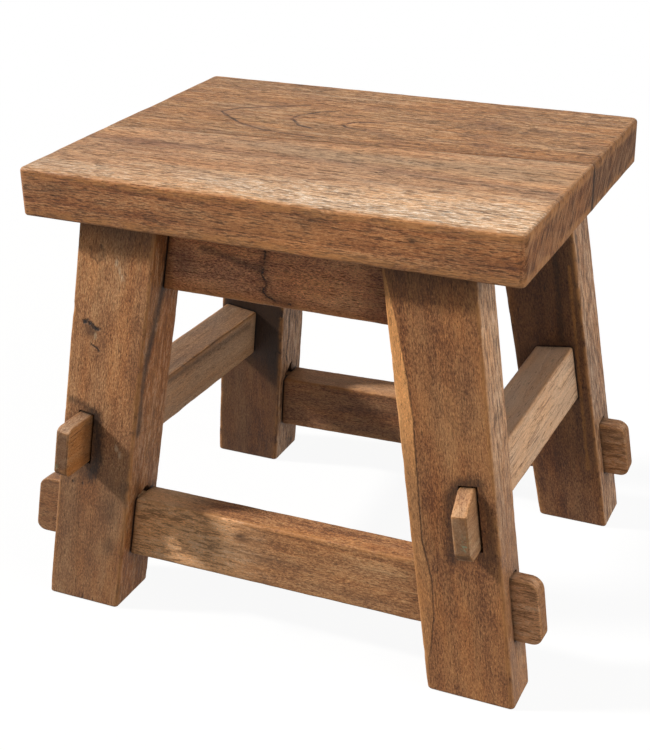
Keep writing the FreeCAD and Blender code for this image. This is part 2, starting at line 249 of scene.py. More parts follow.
def plank_outline(side, steps_long, steps_end):
    """The plank's outline as (x, y, outward_x, outward_y, joint_share), in four runs.

    Run 1 is the outer edge, run 2 one end, run 3 the glue joint, run 4 the other end.
    """
    outline = []
    turn_x = HALF_LENGTH - SEAT_CORNER
    turn_y = side * (HALF_DEPTH - SEAT_CORNER)

    def turn(end, first_angle, change, steps):
        """Round an outer corner, at the left end -1 or the right end 1, in eighths of a turn."""
        for step in steps:
            angle = math.radians(first_angle + change * step / CORNER_STEPS)
            outward = (end * math.cos(angle), side * math.sin(angle))
            x = end * turn_x + SEAT_CORNER * outward[0]
            outline.append((x, turn_y + SEAT_CORNER * outward[1], *outward, 0.0))

    turn(-1, 45, 45, range(CORNER_STEPS))
    straight = steps_long - 2 * CORNER_STEPS
    for step in range(straight + 1):
        x = between(-turn_x, turn_x, step / straight)
        outline.append((x, side * HALF_DEPTH, 0.0, side, 0.0))
    turn(1, 90, -45, range(1, 2 * CORNER_STEPS))
    straight = steps_end - CORNER_STEPS
    for step in range(straight):
        y = between(turn_y, joint_y(HALF_LENGTH), step / straight)
        outline.append((HALF_LENGTH, y, 1.0, 0.0, 0.0))
    for step in range(steps_long + 1):
        x = between(HALF_LENGTH, -HALF_LENGTH, step / steps_long)
        at_end = 1.0 if step == 0 else -1.0 if step == steps_long else 0.0
        outline.append((x, joint_y(x), at_end, 0.0, 1.0))
    for step in range(1, straight + 1):
        y = between(joint_y(-HALF_LENGTH), turn_y, step / straight)
        outline.append((-HALF_LENGTH, y, -1.0, 0.0, 0.0))
    turn(-1, 0, 45, range(1, CORNER_STEPS))
    return outline


def plank(side, seed):
    """One seat plank: rounded outer arrises, a crisp glue joint and an uneven top."""
    steps_long = 136
    steps_end = 48
    outline = plank_outline(side, steps_long, steps_end)
    count = len(outline)
    half = THICKNESS / 2

    def top_round(x, y):
        return TOP_ARRIS + 1.3 * wander(x, y, 0, 34, seed) + 0.5 * wander(x, y, 9, 9, seed)

    def bottom_round(x, y):
        return BOTTOM_ARRIS + 0.8 * wander(x, y, 40, 26, seed)

    quarter = [math.radians(90 * step / 6) for step in range(7)]
    profile = [("bottom", 1 - math.sin(angle), 1 - math.cos(angle)) for angle in quarter]
    profile += [("side", share, 0.0) for share in (0.1, 0.22, 0.34, 0.46, 0.58, 0.7, 0.82, 0.92)]
    profile += [("top", 1 - math.cos(angle), 1 - math.sin(angle)) for angle in quarter]
    points = []
    wear = []
    for part, first, second in profile:
        for x, y, outward_x, outward_y, joint_share in outline:
            radius = top_round(x, y) if part == "top" else bottom_round(x, y)
            if part == "side":
                inset = 0.0
                level = between(-half + bottom_round(x, y), half - top_round(x, y), first)
            else:
                inset = radius * first
                level = half - radius * second if part == "top" else -half + radius * second
            belly = 0.22 * wander(x, y, level, 30, seed + 3)
            at_x = x - outward_x * (inset + belly)
            at_y = y - outward_y * (inset + belly)
            worn = 0.0 if part == "side" and 0.1 < first < 0.92 else 1.0
            if joint_share:
                joint_inset = (0.3 + 0.12 * inset) * opened(x) if part != "side" else 0.05
                at_y = y + side * joint_inset
                worn = 0.15 * worn
            points.append(Vector((at_x, at_y, level)))
            wear.append(worn)
    faces = []
    last_ring = (len(profile) - 1) * count
    for low in range(0, last_ring, count):
        faces += band(low, low + count, count, side < 0)
    fill_face(points, wear, faces, 0, steps_long, steps_end, side > 0)
    fill_face(points, wear, faces, last_ring, steps_long, steps_end, side < 0)
    for point in points:
        if abs(point.z) > half - 0.4:
            point.z += 0.16 * wander(point.x, point.y, 0, 46, seed + 5)
    matrix = Matrix.Translation(MIDDLE + Vector((0, 0, (UNDERSIDE + half) * MM)))
    return (points, faces, wear), matrix


def fill_face(points, wear, faces, start, steps_long, steps_end, flip):
    """Fill a plank's top or bottom with an even grid inside its last ring."""
    count = 2 * (steps_long + steps_end)

    def rim(i):
        return start + i % count

    grid = {}
    for i in range(steps_long + 1):
        grid[i, 0] = rim(i)
        grid[i, steps_end] = rim(2 * steps_long + steps_end - i)
    for j in range(steps_end + 1):
        grid[steps_long, j] = rim(steps_long + j)
        grid[0, j] = rim(count - j)
    low_left, low_right = points[grid[0, 0]], points[grid[steps_long, 0]]
    high_left, high_right = points[grid[0, steps_end]], points[grid[steps_long, steps_end]]
    for i in range(1, steps_long):
        across = i / steps_long
        for j in range(1, steps_end):
            along = j / steps_end
            low = between(low_left, low_right, across)
            high = between(high_left, high_right, across)
            sides = between(points[grid[0, j]], points[grid[steps_long, j]], across)
            ends = between(points[grid[i, 0]], points[grid[i, steps_end]], along)
            points.append(sides + ends - between(low, high, along))
            near = min(j, i, steps_long - i)
            wear.append(0.5 if near == 1 else 0.2 if near == 2 else 0.0)
            grid[i, j] = len(points) - 1
    for i in range(steps_long):
        for j in range(steps_end):
            quad = (grid[i, j], grid[i + 1, j], grid[i + 1, j + 1], grid[i, j + 1])
            faces.append(quad[::-1] if flip else quad)


# Legs


def leg_frame(stance):
    """The leg's own axes: X up along its grain, Y across its width, Z through it."""
    side_x, side_y, own_x, own_y = stance
    lean_x = own_x["splay"] + own_x["growth"] / 2
    lean_y = own_y["splay"] + own_y["growth"] / 2
    rise = Vector((-side_x * lean_x, -side_y * lean_y, 1)).normalized()
    across = (Vector((1, 0, 0)) - rise * rise.x).normalized()
    through = rise.cross(across)
    foot_x = side_x * (own_x["foot"] - own_x["size"] / 2)
    foot_y = side_y * (own_y["foot"] - own_y["size"] / 2)
    matrix = Matrix((rise, across, through)).transposed().to_4x4()
    matrix.translation = Vector((foot_x, foot_y, 0))
    return matrix


def leg(stance, seed):
    """A leg with worn arrises, level at its foot and under the seat."""
    side_x, side_y, own_x, own_y = stance
    own = leg_frame(stance)
    back = own.inverted()
    levels = [0.0, 0.25, 0.7, 1.3, 2.1, 3.2, 5.0]
    while levels[-1] < UNDERSIDE - 4:
        levels.append(levels[-1] + 3.3)
    levels += [UNDERSIDE - 0.6, UNDERSIDE]
    rings = []
    for z in levels:
        half_x = leg_size(own_x, z) / 2
        half_y = leg_size(own_y, z) / 2
        middle_x = side_x * (outer_face(own_x, z) - half_x)
        middle_y = side_y * (outer_face(own_y, z) - half_y)
        inset = rounded_inset(FOOT_ARRIS, z)
        rounds = []
        for corner in range(4):
            worn = LEG_ARRIS + 0.7 * wander(corner * 40, 0, z, 42, seed)
            worn += 2.2 * max(0.0, wander(corner * 40, 50, z, 9, seed) - 0.25)
            if z < 12:
                worn += 1.0 * (1 - z / 12)
            rounds.append(max(1.0, worn))
        shape = (-half_x + inset, half_x - inset, -half_y + inset, half_y - inset)
        ring = []
        for x, y, worn in section(*shape, rounds, 20, 13):
            face = 0.28 * wander(x, y, z, 38, seed + 1) + 0.1 * wander(x, y, z, 11, seed + 2)
            x += math.copysign(face, x) if abs(x) > half_x - 3 else 0.0
            y += math.copysign(face, y) if abs(y) > half_y - 3 else 0.0
            worn = max(worn, 1.0 - z / 3) if z < 3 else worn
            ring.append((back @ Vector((middle_x + x, middle_y + y, z)), worn))
        rings.append(ring)
    return skin(rings), own


# Aprons and stretchers lie in a frame of their own: X along the grain, Y inwards
# from the outer faces of the legs, Z up along the lean of the legs.


def tilt_of(member):
    """How steeply a member rises towards its +X end."""
    reach = sum(outer_face(member[end]["along"], member["middle"]) for end in ("start", "end"))
    return math.atan(member["rise"] / reach)


def member_frame(member):
    across = member["across"]
    lean = math.atan(across["splay"])
    place = Matrix.Translation(Vector((0, -outer_face(across, member["middle"]), member["middle"])))
    turn = Matrix.Rotation(math.radians(member["turn"]), 4, "Z")
    tip = Matrix.Rotation(-lean, 4, "X")
    return turn @ place @ tip @ Matrix.Rotation(-tilt_of(member), 4, "Y")


def x_at_leg(member, side, out, y, z, outside=False):
    """Where a line along a member, at (y, z) in its frame, is as far out of a leg's face."""
    along = member["start" if side < 0 else "end"]["along"]
    lean = math.atan(member["across"]["splay"])
    tilt = tilt_of(member)
    level = member["middle"] - y * math.sin(lean) + z * math.cos(tilt) * math.cos(lean)
    steepness = along["splay"] + along["growth"]
    slope = math.cos(tilt) + side * steepness * math.sin(tilt) * math.cos(lean)
    through = leg_size(along, level) if outside else 0.0
    return (side * (inner_face(along, level) + through + out) + z * math.sin(tilt)) / slope


def level_of_top(member, y):
    """How far the seat's underside is above an apron's middle line."""
    lean = math.atan(member["across"]["splay"])
    return (UNDERSIDE - member["middle"] + y * math.sin(lean)) / math.cos(lean)


def corner_inset(work, depth):
    """How far a tenon's corner is worked back at a depth behind its tip."""
    kind, first, second = work
    if kind == "round":
        return rounded_inset(first, depth)
    return second * max(0.0, 1 - depth / first)


def member_rings(member, seed):
    """All cross-sections of an apron or stretcher, from one tenon tip to the other."""
    half = member["height"] / 2
    body = (member["inset"], member["inset"] + member["thickness"], -half, half)
    low_cut, high_cut = member["shoulders"]
    tenon_y = (member["tenon_inset"], member["tenon_inset"] + member["tenon_thickness"])
    tenon = (*tenon_y, -half + low_cut, half - high_cut)
    rings = []

    def place(shape, rounds, at_x, worn_all, rough):
        """One cross-section with slightly uneven faces, level on top where it meets the seat."""
        ring = []
        for y, z, worn in section(*shape, rounds, 12, 18):
            if member["level_top"] and z > 0:
                z *= between(1.0, level_of_top(member, y) / half, z / half)
            x = at_x(y, z)
            bump = rough * (wander(x, y, z, 26, seed + 1) + 0.5 * wander(x, y, z, 8, seed + 2))
            outward = Vector((0, y - (shape[0] + shape[1]) / 2, z - (shape[2] + shape[3]) / 2))
            if not (member["level_top"] and z > half - 2):
                beside = worn < 1 or abs(outward.y) > abs(outward.z)
                y += math.copysign(bump, outward.y) if beside else 0.0
                z += math.copysign(bump, outward.z) if abs(outward.z) > shape[3] - 6 else 0.0
            ring.append((Vector((x, y, z)), max(worn, worn_all)))
        rings.append(ring)

    def hewn(place_share):
        """How much is hewn off the underside, from the start at -1 to the end at 1."""
        outer = outer_face(member["start"]["along"], member["middle"])
        inner = inner_face(member["start"]["along"], member["middle"])
        return member["hewn"] * (outer - place_share * inner) / (2 * outer)

    def arrises(size, x):
        """The rounds of the four arrises at a place along the member, dented here and there."""
        rounds = []
        for corner in range(4):
            worn = size * (1 + 0.4 * wander(x, corner * 30, 0, 30, seed))
            worn += size * 0.7 * max(0.0, wander(x, corner * 30, 60, 8, seed) - 0.3)
            rounds.append(worn)
        return rounds

    def tenon_rings(side, work):
        """Sections of a tenon, closest at its worked tip and at the mouth of its mortise."""
        through = leg_size(work["along"], member["middle"]) if work["outside"] else 0.0
        reach = work["out"] + through
        depths = [depth for depth in TIP_DEPTHS if depth < reach - 3]
        while depths[-1] < reach - 5:
            depths.append(depths[-1] + 4)
        depths.append(reach)
        if work["outside"]:
            mouth = [work["out"] - lift for lift in (2.4, 1.2, 0.3)]
            depths += [
                depth for depth in mouth if min(abs(depth - other) for other in depths) > 0.15
            ]
            depths.sort()
        for depth in depths if side < 0 else depths[::-1]:
            y0, y1, z0, z1 = tenon
            edge = rounded_inset(TIP_ARRIS, depth)
            shape = (
                y0 + edge,
                y1 - edge,
                z0 + max(corner_inset(work["bottom"], depth), edge),
                z1 - max(corner_inset(work["top"], depth), edge),
            )
            out = reach - depth
            tip = max(0.0, 1 - depth / WORN_REACH)

            def at_x(y, z, depth=depth):
                return x_at_leg(member, side, work["out"] - depth, y, z, work["outside"])

            rough = 0.22 if depth > 0 else 0.0
            place(shape, arrises(member["tenon_arris"], side * (200 + out)), at_x, tip, rough)

    def shoulder(side):
        """Sections of the shoulder that follows a leg's inner face."""
        gap = member["shoulder_gap"]
        steps = ((gap, 1.1), (gap + 0.35, 0.45), (gap + 1.2, 0.0), (gap + 2.4, 0.0))
        for draw, inset in steps if side < 0 else steps[::-1]:
            low = body[2] + hewn(side) + inset
            shape = (body[0] + inset, body[1] - inset, low, body[3] - inset)

            def at_x(y, z, draw=draw):
                return x_at_leg(member, side, -draw, y, z)

            place(shape, arrises(member["arris"], side * 130), at_x, 0.7, 0.0)

    tenon_rings(-1, member["start"])
    shoulder(-1)
    for step in range(1, BODY_STEPS):
        share = step / BODY_STEPS

        def at_x(y, z, share=share):
            return between(x_at_leg(member, -1, 0, y, z), x_at_leg(member, 1, 0, y, z), share)

        shape = (body[0], body[1], body[2] + hewn(2 * share - 1), body[3])
        place(shape, arrises(member["arris"], (2 * share - 1) * 140), at_x, 0.0, 0.3)
    shoulder(1)
    tenon_rings(1, member["end"])
    return rings


def mortise(member, side, seed):
    """A cutter for the hole a tenon takes through a leg, a little larger than the tenon."""
    work = member["start" if side < 0 else "end"]
    half = member["height"] / 2
    low_cut, high_cut = member["shoulders"]
    through = leg_size(work["along"], member["middle"]) + 5
    far = STUB_MORTISE if member["level_top"] else through
    rings = []
    for step in range(13):
        out = between(-2.0, far, step / 12)
        gaps = []
        for edge, loose in enumerate(work["loose"]):
            gap = 0.5 + loose + 0.35 * wander(out, edge * 20, 0, 7, seed)
            gaps.append(gap + 0.15 * (step in (0, 12)))
        y0 = member["tenon_inset"] - gaps[0]
        y1 = member["tenon_inset"] + member["tenon_thickness"] + gaps[1]
        z0 = -half + low_cut - gaps[2]
        z1 = half - high_cut + gaps[3]
        ring = []
        for y, z, worn in section(y0, y1, z0, z1, (0.5,) * 4, 6, 10):
            y += 0.16 * wander(out, y, z, 4, seed + 4)
            z += 0.16 * wander(out, y, z, 4, seed + 5)
            ring.append((Vector((x_at_leg(member, side, out, y, z), y, z)), 0.0))
        rings.append(ring)
    if side < 0:
        rings.reverse()
    return make_piece("mortise", skin(rings), set_in_frame(member_frame(member)))


def chip(outline, own):
    """A cutter for a splinter off a leg's inner side, from its outline up and through the leg."""
    points = [Vector((x, y, z)) for y in SPLINTER_DEPTHS for x, z in outline]
    count = len(outline)
    faces = [list(range(count)), list(range(2 * count - 1, count - 1, -1))]
    for place in range(count):
        after = (place + 1) % count
        faces.append([after, place, place + count, after + count])
    return make_piece("splinter", (points, faces, [0.0] * len(points)), set_in_frame(own))


def set_in_frame(matrix):
    """A matrix in millimetres around the seat's middle, as a matrix in the frame."""
    placed = matrix.copy()
    placed.translation = matrix.translation * MM + MIDDLE
    return placed


# Finishes

# The dull gloss of old wax, and the height of the grain in metres
WAXED_GLOSS = 0.28
RELIEF = 0.0007


class Value:
    """A number or vector that changes over a surface. Sums on it add nodes to its finish."""

    def __init__(self, finish, socket):
        self.finish = finish
        self.socket = socket

    def maths(self, operation, *terms):
        return self.finish.node("ShaderNodeMath", {"operation": operation}, dict(enumerate(terms)))

    def __add__(self, other):
        return self.maths("ADD", self, other)

    __radd__ = __add__

    def __sub__(self, other):
        return self.maths("SUBTRACT", self, other)

    def __rsub__(self, other):
        return self.maths("SUBTRACT", other, self)

    def __mul__(self, other):
        return self.maths("MULTIPLY", self, other)

    __rmul__ = __mul__

    def __truediv__(self, other):
        return self.maths("DIVIDE", self, other)

    def __pow__(self, other):
        return self.maths("POWER", self, other)

    def __abs__(self):
        return self.maths("ABSOLUTE", self)

    def part(self):
        """What is left above the whole number below it."""
        return self.maths("FRACT", self)

    def most(self, other):
        return self.maths("MAXIMUM", self, other)

    def least(self, other):
        return self.maths("MINIMUM", self, other)


def shade(code):
    """A colour written as in a paint chart, RRGGBB, for a shader."""
    channels = []
    for start in (0, 2, 4):
        level = int(code[start:start + 2], 16) / 255
        channels.append(level / 12.92 if level <= 0.04045 else ((level + 0.055) / 1.055) ** 2.4)
    return (*channels, 1.0)


class Finish:
    """The nodes of one material, or of the world."""

    def __init__(self, material):
        self.material = material
        material.use_nodes = True
        self.tree = material.node_tree
        self.tree.nodes.clear()

    def node(self, kind, settings, inputs, output=0):
        """One node: its settings first, then the values or links of its sockets.

        output is the socket that its value comes from, by place or by name.
        """
        node = self.tree.nodes.new(kind)
        for setting, chosen in settings.items():
            if setting == "stops":
                ramp = node.color_ramp
                while len(ramp.elements) < len(chosen):
                    ramp.elements.new(1.0)
                for element, (position, colour) in zip(ramp.elements, chosen):
                    element.position = position
                    element.color = colour
            else:
                setattr(node, setting, chosen)
        for key, given in inputs.items():
            if isinstance(given, Value):
                self.tree.links.new(given.socket, node.inputs[key])
            else:
                node.inputs[key].default_value = given
        return Value(self, node.outputs[output]) if len(node.outputs) else None

    def vector(self, operation, first, second, output=0):
        settings = {"operation": operation}
        return self.node("ShaderNodeVectorMath", settings, {0: first, 1: second}, output)

    def scaled(self, vector, factor):
        """A vector or colour times a number."""
        return self.node("ShaderNodeVectorMath", {"operation": "SCALE"}, {0: vector, 3: factor})

    def length(self, vector):
        return self.node("ShaderNodeVectorMath", {"operation": "LENGTH"}, {0: vector}, "Value")

    def mix(self, first, second, factor):
        """Two colours mixed."""
        settings = {"data_type": "RGBA", "blend_type": "MIX"}
        return self.node("ShaderNodeMix", settings, {0: factor, 6: first, 7: second}, 2)

    def step(self, value, low, high):
        """0 below low, 1 above high and a smooth change between them."""
        settings = {"interpolation_type": "SMOOTHSTEP"}
        inputs = {0: value, 1: low, 2: high, 3: 0.0, 4: 1.0}
        return self.node("ShaderNodeMapRange", settings, inputs)

    def noise(self, place, factors, detail, roughness, output=0):
        """Unevenness with so many swells to a millimetre in each direction."""
        inputs = {
            "Vector": self.vector("MULTIPLY", place, factors),
            "Scale": 1.0,
            "Detail": detail,
            "Roughness": roughness,
        }
        return self.node("ShaderNodeTexNoise", {}, inputs, output)

    def attribute(self, name):
        return self.node("ShaderNodeAttribute", {"attribute_name": name}, {}, "Fac")

    def parts(self, vector):
        """Its X, Y and Z."""
        split = self.node("ShaderNodeSeparateXYZ", {}, {0: vector}).socket.node
        return [Value(self, output) for output in split.outputs]

    def drawn(self, place, points):
        """How far a place is from a line drawn through points."""
        nearest = None
        for start, end in zip(points, points[1:]):
            run = Vector(end) - Vector(start)
            beside = self.vector("SUBTRACT", place, start)
            share = self.vector("DOT_PRODUCT", beside, tuple(run / run.length_squared), "Value")
            share = share.most(0.0).least(1.0)
            away = self.vector("DISTANCE", beside, self.scaled(tuple(run), share), "Value")
            nearest = away if nearest is None else nearest.least(away)
        return nearest

    def spot(self, place, middle, reaches):
        """1 in the middle of a spot, 0 at its reach in each direction."""
        beside = self.vector("SUBTRACT", place, middle)
        factors = tuple(1 / reach for reach in reaches)
        return self.step(self.length(self.vector("MULTIPLY", beside, factors)), 1.0, 0.0)

    def surface(self, colour, roughness, height):
        """Finish off with the shader and the bump of the grain."""
        bump_inputs = {"Strength": 1.0, "Distance": RELIEF, "Height": height}
        bump = self.node("ShaderNodeBump", {}, bump_inputs)
        inputs = {
            "Base Color": colour,
            "Roughness": roughness,
            "Normal": bump,
            "Specular IOR Level": WAXED_GLOSS,
        }
        shader = self.node("ShaderNodeBsdfPrincipled", {}, inputs)
        self.node("ShaderNodeOutputMaterial", {}, {"Surface": shader})
        return self.material


class Grain:
    """The places that a timber's finish is worked out from, X along its grain."""

    def __init__(self, finish, seed):
        self.finish = finish
        self.step = finish.step
        own = finish.node("ShaderNodeTexCoord", {}, {}, "Object")
        self.place = finish.scaled(own, 1 / MM)
        self.x, self.y, self.z = finish.parts(self.place)
        facing = finish.node("ShaderNodeTexCoord", {}, {}, "Normal")
        self.facing_x, self.facing_y, self.facing_z = finish.parts(facing)
        self.timber = finish.vector("ADD", self.place, (seed * 137.0, seed * 71.0, seed * 53.0))
        waver = finish.noise(self.timber, (0.16, 0.3, 0.3), 3.0, 0.7, "Color")
        waver = finish.vector("SUBTRACT", waver, (0.5, 0.5, 0.5))
        waver = finish.vector("MULTIPLY", waver, (5.0, 4.0, 1.0))
        self.wavering = finish.vector("ADD", self.place, waver)
        self.torn = self.noise((0.4, 0.7, 0.7), 2.0, 0.7)
        self.broken = self.step(self.noise((0.07, 0.13, 0.13), 2.0, 0.6), 0.34, 0.52)

    def noise(self, factors, detail, roughness):
        return self.finish.noise(self.timber, factors, detail, roughness)

    def upward(self):
        return self.step(self.facing_z, 0.55, 0.9)

    def along(self, facing):
        """1 on the faces that look along an axis."""
        return self.step(facing, 0.6, 0.9)

    def against(self, facing):
        """1 on the faces that look the other way."""
        return self.step(facing, -0.4, -0.8)

    def spot(self, middle, reaches):
        """A spot with an uneven border."""
        return self.finish.spot(self.wavering, middle, reaches)

    def line(self, places):
        """How far a place is from an uneven line."""
        return self.finish.drawn(self.wavering, places)

    def scratched(self, places, width, strength):
        """A dark line of uneven width, here and there broken off."""
        away = self.line(places) + (self.torn - 0.5) * (width * 2.6)
        return self.step(away, width, width * 0.2) * self.broken * strength

    def smeared(self, places, reach, strength):
        """A stain with soft ragged borders along a line."""
        away = self.line(places) + (self.torn - 0.5) * (reach * 1.1)
        return self.step(away, reach, 0.0) * strength


def wood(
    name, seed, tones, heart, ring_width, taper=0.0, late=0.16, streaks=0.55, smudges=1.0, fuzz=1.0,
    open_pores=0.0, fineness=(0.36, 0.95, 0.95), marks=None,
):
    """Oiled old hardwood: rings round a heart line, fibres, pores, worn arrises with a painted
    highlight, and grime with painted shade where timbers meet.

    heart is the heart line's place across and through the timber, taper how fast
    the rings widen along it. marks gives the stains, knots and checks of one
    timber, each as (tint, share), or (tint, share, depth) where it is sunk in.
    """
    finish = Finish(bpy.data.materials.new(name))
    dark, middle, light = [shade(tone) for tone in tones]
    grain = Grain(finish, seed)
    end_grain = grain.along(abs(grain.facing_x))

    # Growth rings, each with a thin dark line of late wood
    drift = grain.noise((0.006, 0.016, 0.016), 2.0, 0.5)
    drift_two = grain.noise((0.018, 0.03, 0.03), 2.0, 0.55)
    sway = (drift - 0.5) * 26.0 + (drift_two - 0.5) * 9.0
    across = grain.y - heart[0] + sway
    through = grain.z - heart[1]
    radius = (across * across + through * through) ** 0.5 + grain.x * taper
    phase = (radius / ring_width).part()
    late_wood = finish.step(phase, 0.35, 0.93) * finish.step(phase, 1.0, 0.95)

    # Smudges, streaks and short loose fibres
    smudge = grain.noise((0.012, 0.034, 0.034), 4.0, 0.6)
    cloud = grain.noise((0.05, 0.11, 0.11), 3.0, 0.6)
    fibre = grain.noise((0.025, 0.7, 0.7), 4.0, 0.62)
    streak = grain.noise((0.008, 0.16, 0.16), 3.0, 0.55)
    tuft = grain.noise(fineness, 3.0, 0.8)
    hair = finish.noise(grain.place, tuple(1.25 * share for share in fineness), 2.0, 0.75)
    tone = 0.5 + (smudge - 0.5) * (1.1 * smudges) + (cloud - 0.5) * (0.7 * smudges)
    tone = tone + (fibre - 0.5) * streaks + (streak - 0.5) * (0.9 * streaks)
    tone = tone + (tuft - 0.5) * (2.4 * fuzz) - (late_wood - 0.3) * late
    colour = finish.node(
        "ShaderNodeValToRGB", {"stops": [(0.14, dark), (0.5, middle), (0.88, light)]}, {0: tone}
    )
    pore_noise = grain.noise((0.1, 1.3 * fineness[1], 1.3 * fineness[2]), 2.0, 0.6)
    pore_noise = pore_noise + (cloud - 0.5) * 0.25 + open_pores * 0.07
    pores = finish.step(pore_noise, 0.62, 0.71) * (1 - end_grain)
    height = fibre * 0.4 + tuft * 0.3 + hair * 0.2 - pores * 0.7 - late_wood * 0.2 + cloud * 0.2

    # What is particular to this timber
    for tint, share, *depth in marks(grain) if marks else ():
        colour = finish.mix(colour, shade(tint), share)
        if depth:
            height = height - share * depth[0]

    # Warmer and greyer patches
    warmth = grain.noise((0.01, 0.045, 0.045), 3.0, 0.55)
    warm = finish.vector("MULTIPLY", colour, (1.09, 0.955, 0.8))
    colour = finish.mix(colour, warm, finish.step(warmth, 0.47, 0.66) * 0.65)
    greyed = finish.vector("MULTIPLY", colour, (0.94, 1.0, 1.08))
    colour = finish.mix(colour, greyed, finish.step(warmth, 0.5, 0.34) * 0.75)

    # Fine fibres and pores, which show through all stains
    fibres = finish.step(hair, 0.57, 0.65) * (0.4 * fuzz)
    fibres = fibres - finish.step(hair, 0.41, 0.33) * (0.5 * fuzz)
    colour = finish.scaled(colour, fibres + 1.0)
    colour = finish.mix(colour, shade("2c1a10"), pores * (0.5 + open_pores * 0.12))

    # End grain, worn arrises with a painted highlight, and dirt and painted shade where timbers
    # meet
    colour = finish.mix(colour, shade("4c2d17"), end_grain * 0.55)
    worn = finish.attribute("worn")
    patch = grain.noise((0.09, 0.09, 0.09), 3.0, 0.6)
    worn = (worn ** 1.6) * finish.step(patch, 0.34, 0.56)
    # Paler golden arrises: wear, and a painted highlight along every arris
    colour = finish.mix(colour, shade("b37d49"), worn * 0.5)
    # Darker near other timbers: dirt, with painted shade where parts meet
    joint_dirt_and_shade = finish.attribute("grime")
    grime = (joint_dirt_and_shade * (0.8 + (smudge - 0.5) * 1.8 + (cloud - 0.5) * 1.6).most(0.0)).least(1.0)
    colour = finish.mix(colour, shade("26160d"), (grime ** 0.7) * 0.72)
    # Painted shade: near black in the gaps of the mortises, closest to the next timber
    colour = finish.mix(colour, shade("110905"), finish.step(joint_dirt_and_shade, 0.54, 0.84) * 0.85)
    roughness = 0.62 + (fibre - 0.5) * 0.2 + pores * 0.15 - worn * 0.1 + end_grain * 0.2
    return finish.surface(colour, roughness, height)


# What is particular to each timber. Places are in the timber's own millimetres,
# X along the grain, on the face named in the comment.

SEAT_TOP = THICKNESS / 2


def on_face(places, level):
    """Places drawn on a face that lies at one level through the timber."""
    return [(x, y, level) for x, y in places]


def weathered(grain, face):
    """Dry specks of a bare surface, dark and pale."""
    dry = grain.noise((0.12, 0.8, 0.8), 3.0, 0.8)
    yield "54361f", face * grain.step(dry, 0.47, 0.39) * 0.42, 0.2
    yield "dfbf99", face * grain.step(dry, 0.54, 0.62) * 0.4
    drawn_out = grain.finish.noise(grain.wavering, (0.01, 0.24, 0.24), 3.0, 0.6)
    yield "5e3f28", face * grain.step(drawn_out, 0.55, 0.62) * grain.broken * 0.42, 0.2
    yield "cfab86", face * grain.step(drawn_out, 0.45, 0.38) * 0.35


def sawn_end(grain):
    """Slanting lines of the end grain at a plank's right end."""
    end = grain.along(grain.facing_x)
    across = (grain.y - grain.z * 0.7) * 0.3
    slant = grain.finish.node("ShaderNodeCombineXYZ", {}, {0: across, 1: grain.z * 0.05})
    lines = grain.finish.noise(slant, (1.0, 1.0, 1.0), 4.0, 0.75)
    yield "2e1c0e", end * grain.step(lines, 0.5, 0.6) * 0.95, 0.2
    yield "dcae84", end * grain.step(lines, 0.49, 0.4) * 0.62


def bare_side(grain, face, tint, share):
    """A drier side with dark and pale strokes along it."""
    stroke = grain.noise((0.06, 0.36, 0.36), 4.0, 0.75)
    yield tint, face * share
    yield "46301f", face * grain.step(stroke, 0.52, 0.58) * 0.75, 0.2
    yield "e4c3a3", face * grain.step(stroke, 0.47, 0.41) * 0.52


def front_plank_marks(grain):
    """Drier and paler on top than at its sides, which also paints in the top's stronger light,
    bleached along the front, with dark grain lines.
    """
    up = grain.upward()
    ragged = grain.noise((0.012, 0.12, 0.12), 4.0, 0.6)
    # Paler on top: drier wood, and painted light on the face turned up to the lamp
    yield "b5916f", up * 0.5
    yield from weathered(grain, up)
    run = 0 - grain.y + (ragged - 0.5) * 46.0
    bleached = grain.step(run + grain.x * 0.09, 88.0, 132.0) * grain.step(run, 172.0, 146.0)
    bleached = bleached * (0.45 + grain.step(grain.x, -150.0, 90.0) * 0.55)
    yield "dcb793", up * bleached * 0.6
    dry = grain.noise((0.13, 0.8, 0.8), 3.0, 0.75)
    yield "fff2de", up * bleached * grain.step(dry, 0.53, 0.6) * 0.65
    yield "6e4830", up * bleached * grain.step(dry, 0.45, 0.37) * 0.35, 0.2
    grey = grain.step(abs(grain.y + 38.0 - grain.x * 0.06 + (ragged - 0.5) * 30.0), 26.0, 4.0)
    yield "8c765c", up * grey * grain.step(grain.x, -130.0, 0.0) * 0.42
    long_band = on_face(((-205, -60), (-110, -58), (30, -56), (205, -66)), SEAT_TOP)
    yield "6a4836", grain.smeared(long_band, 12.0, 0.4) * up
    yield "653f2c", grain.spot((-145, -64, 19), (66, 22, 9)) * 0.5
    for tint, places, width, strength in (
        ("4f3523", ((45, -66), (87, -62.5), (108, -66), (200, -64)), 1.4, 0.7),
        ("5c3f2b", ((43, -120), (127, -119), (200, -124)), 1.5, 0.6),
    ):
        yield tint, grain.scratched(on_face(places, SEAT_TOP), width, strength), 0.4
    # Its front edge
    yield "c08350", grain.spot((10, -154, -3), (110, 10, 24)) * 0.35
    yield "6e4a30", grain.spot((165, -154, 0), (70, 10, 30)) * 0.25
    for x, z, size in ((-163, 6, 26), (44, 9, 20), (120, 4, 12)):
        yield "3a2414", grain.spot((x, -154, z), (size, 12, 8)) * grain.torn * 0.8
    for x, z in ((44, 9), (120, 4), (-140, 9)):
        yield "22140c", grain.spot((x, -154, z), (4, 6, 1.8)) * 0.7, 0.8
    yield from sawn_end(grain)
    for y, low, high in ((-42, 18, -2), (-92, 12, -6)):
        crack = grain.line(((200, y, high), (200, y - 5, low)))
        yield "24150c", grain.step(crack, 1.1, 0.3) * 0.7, 0.6


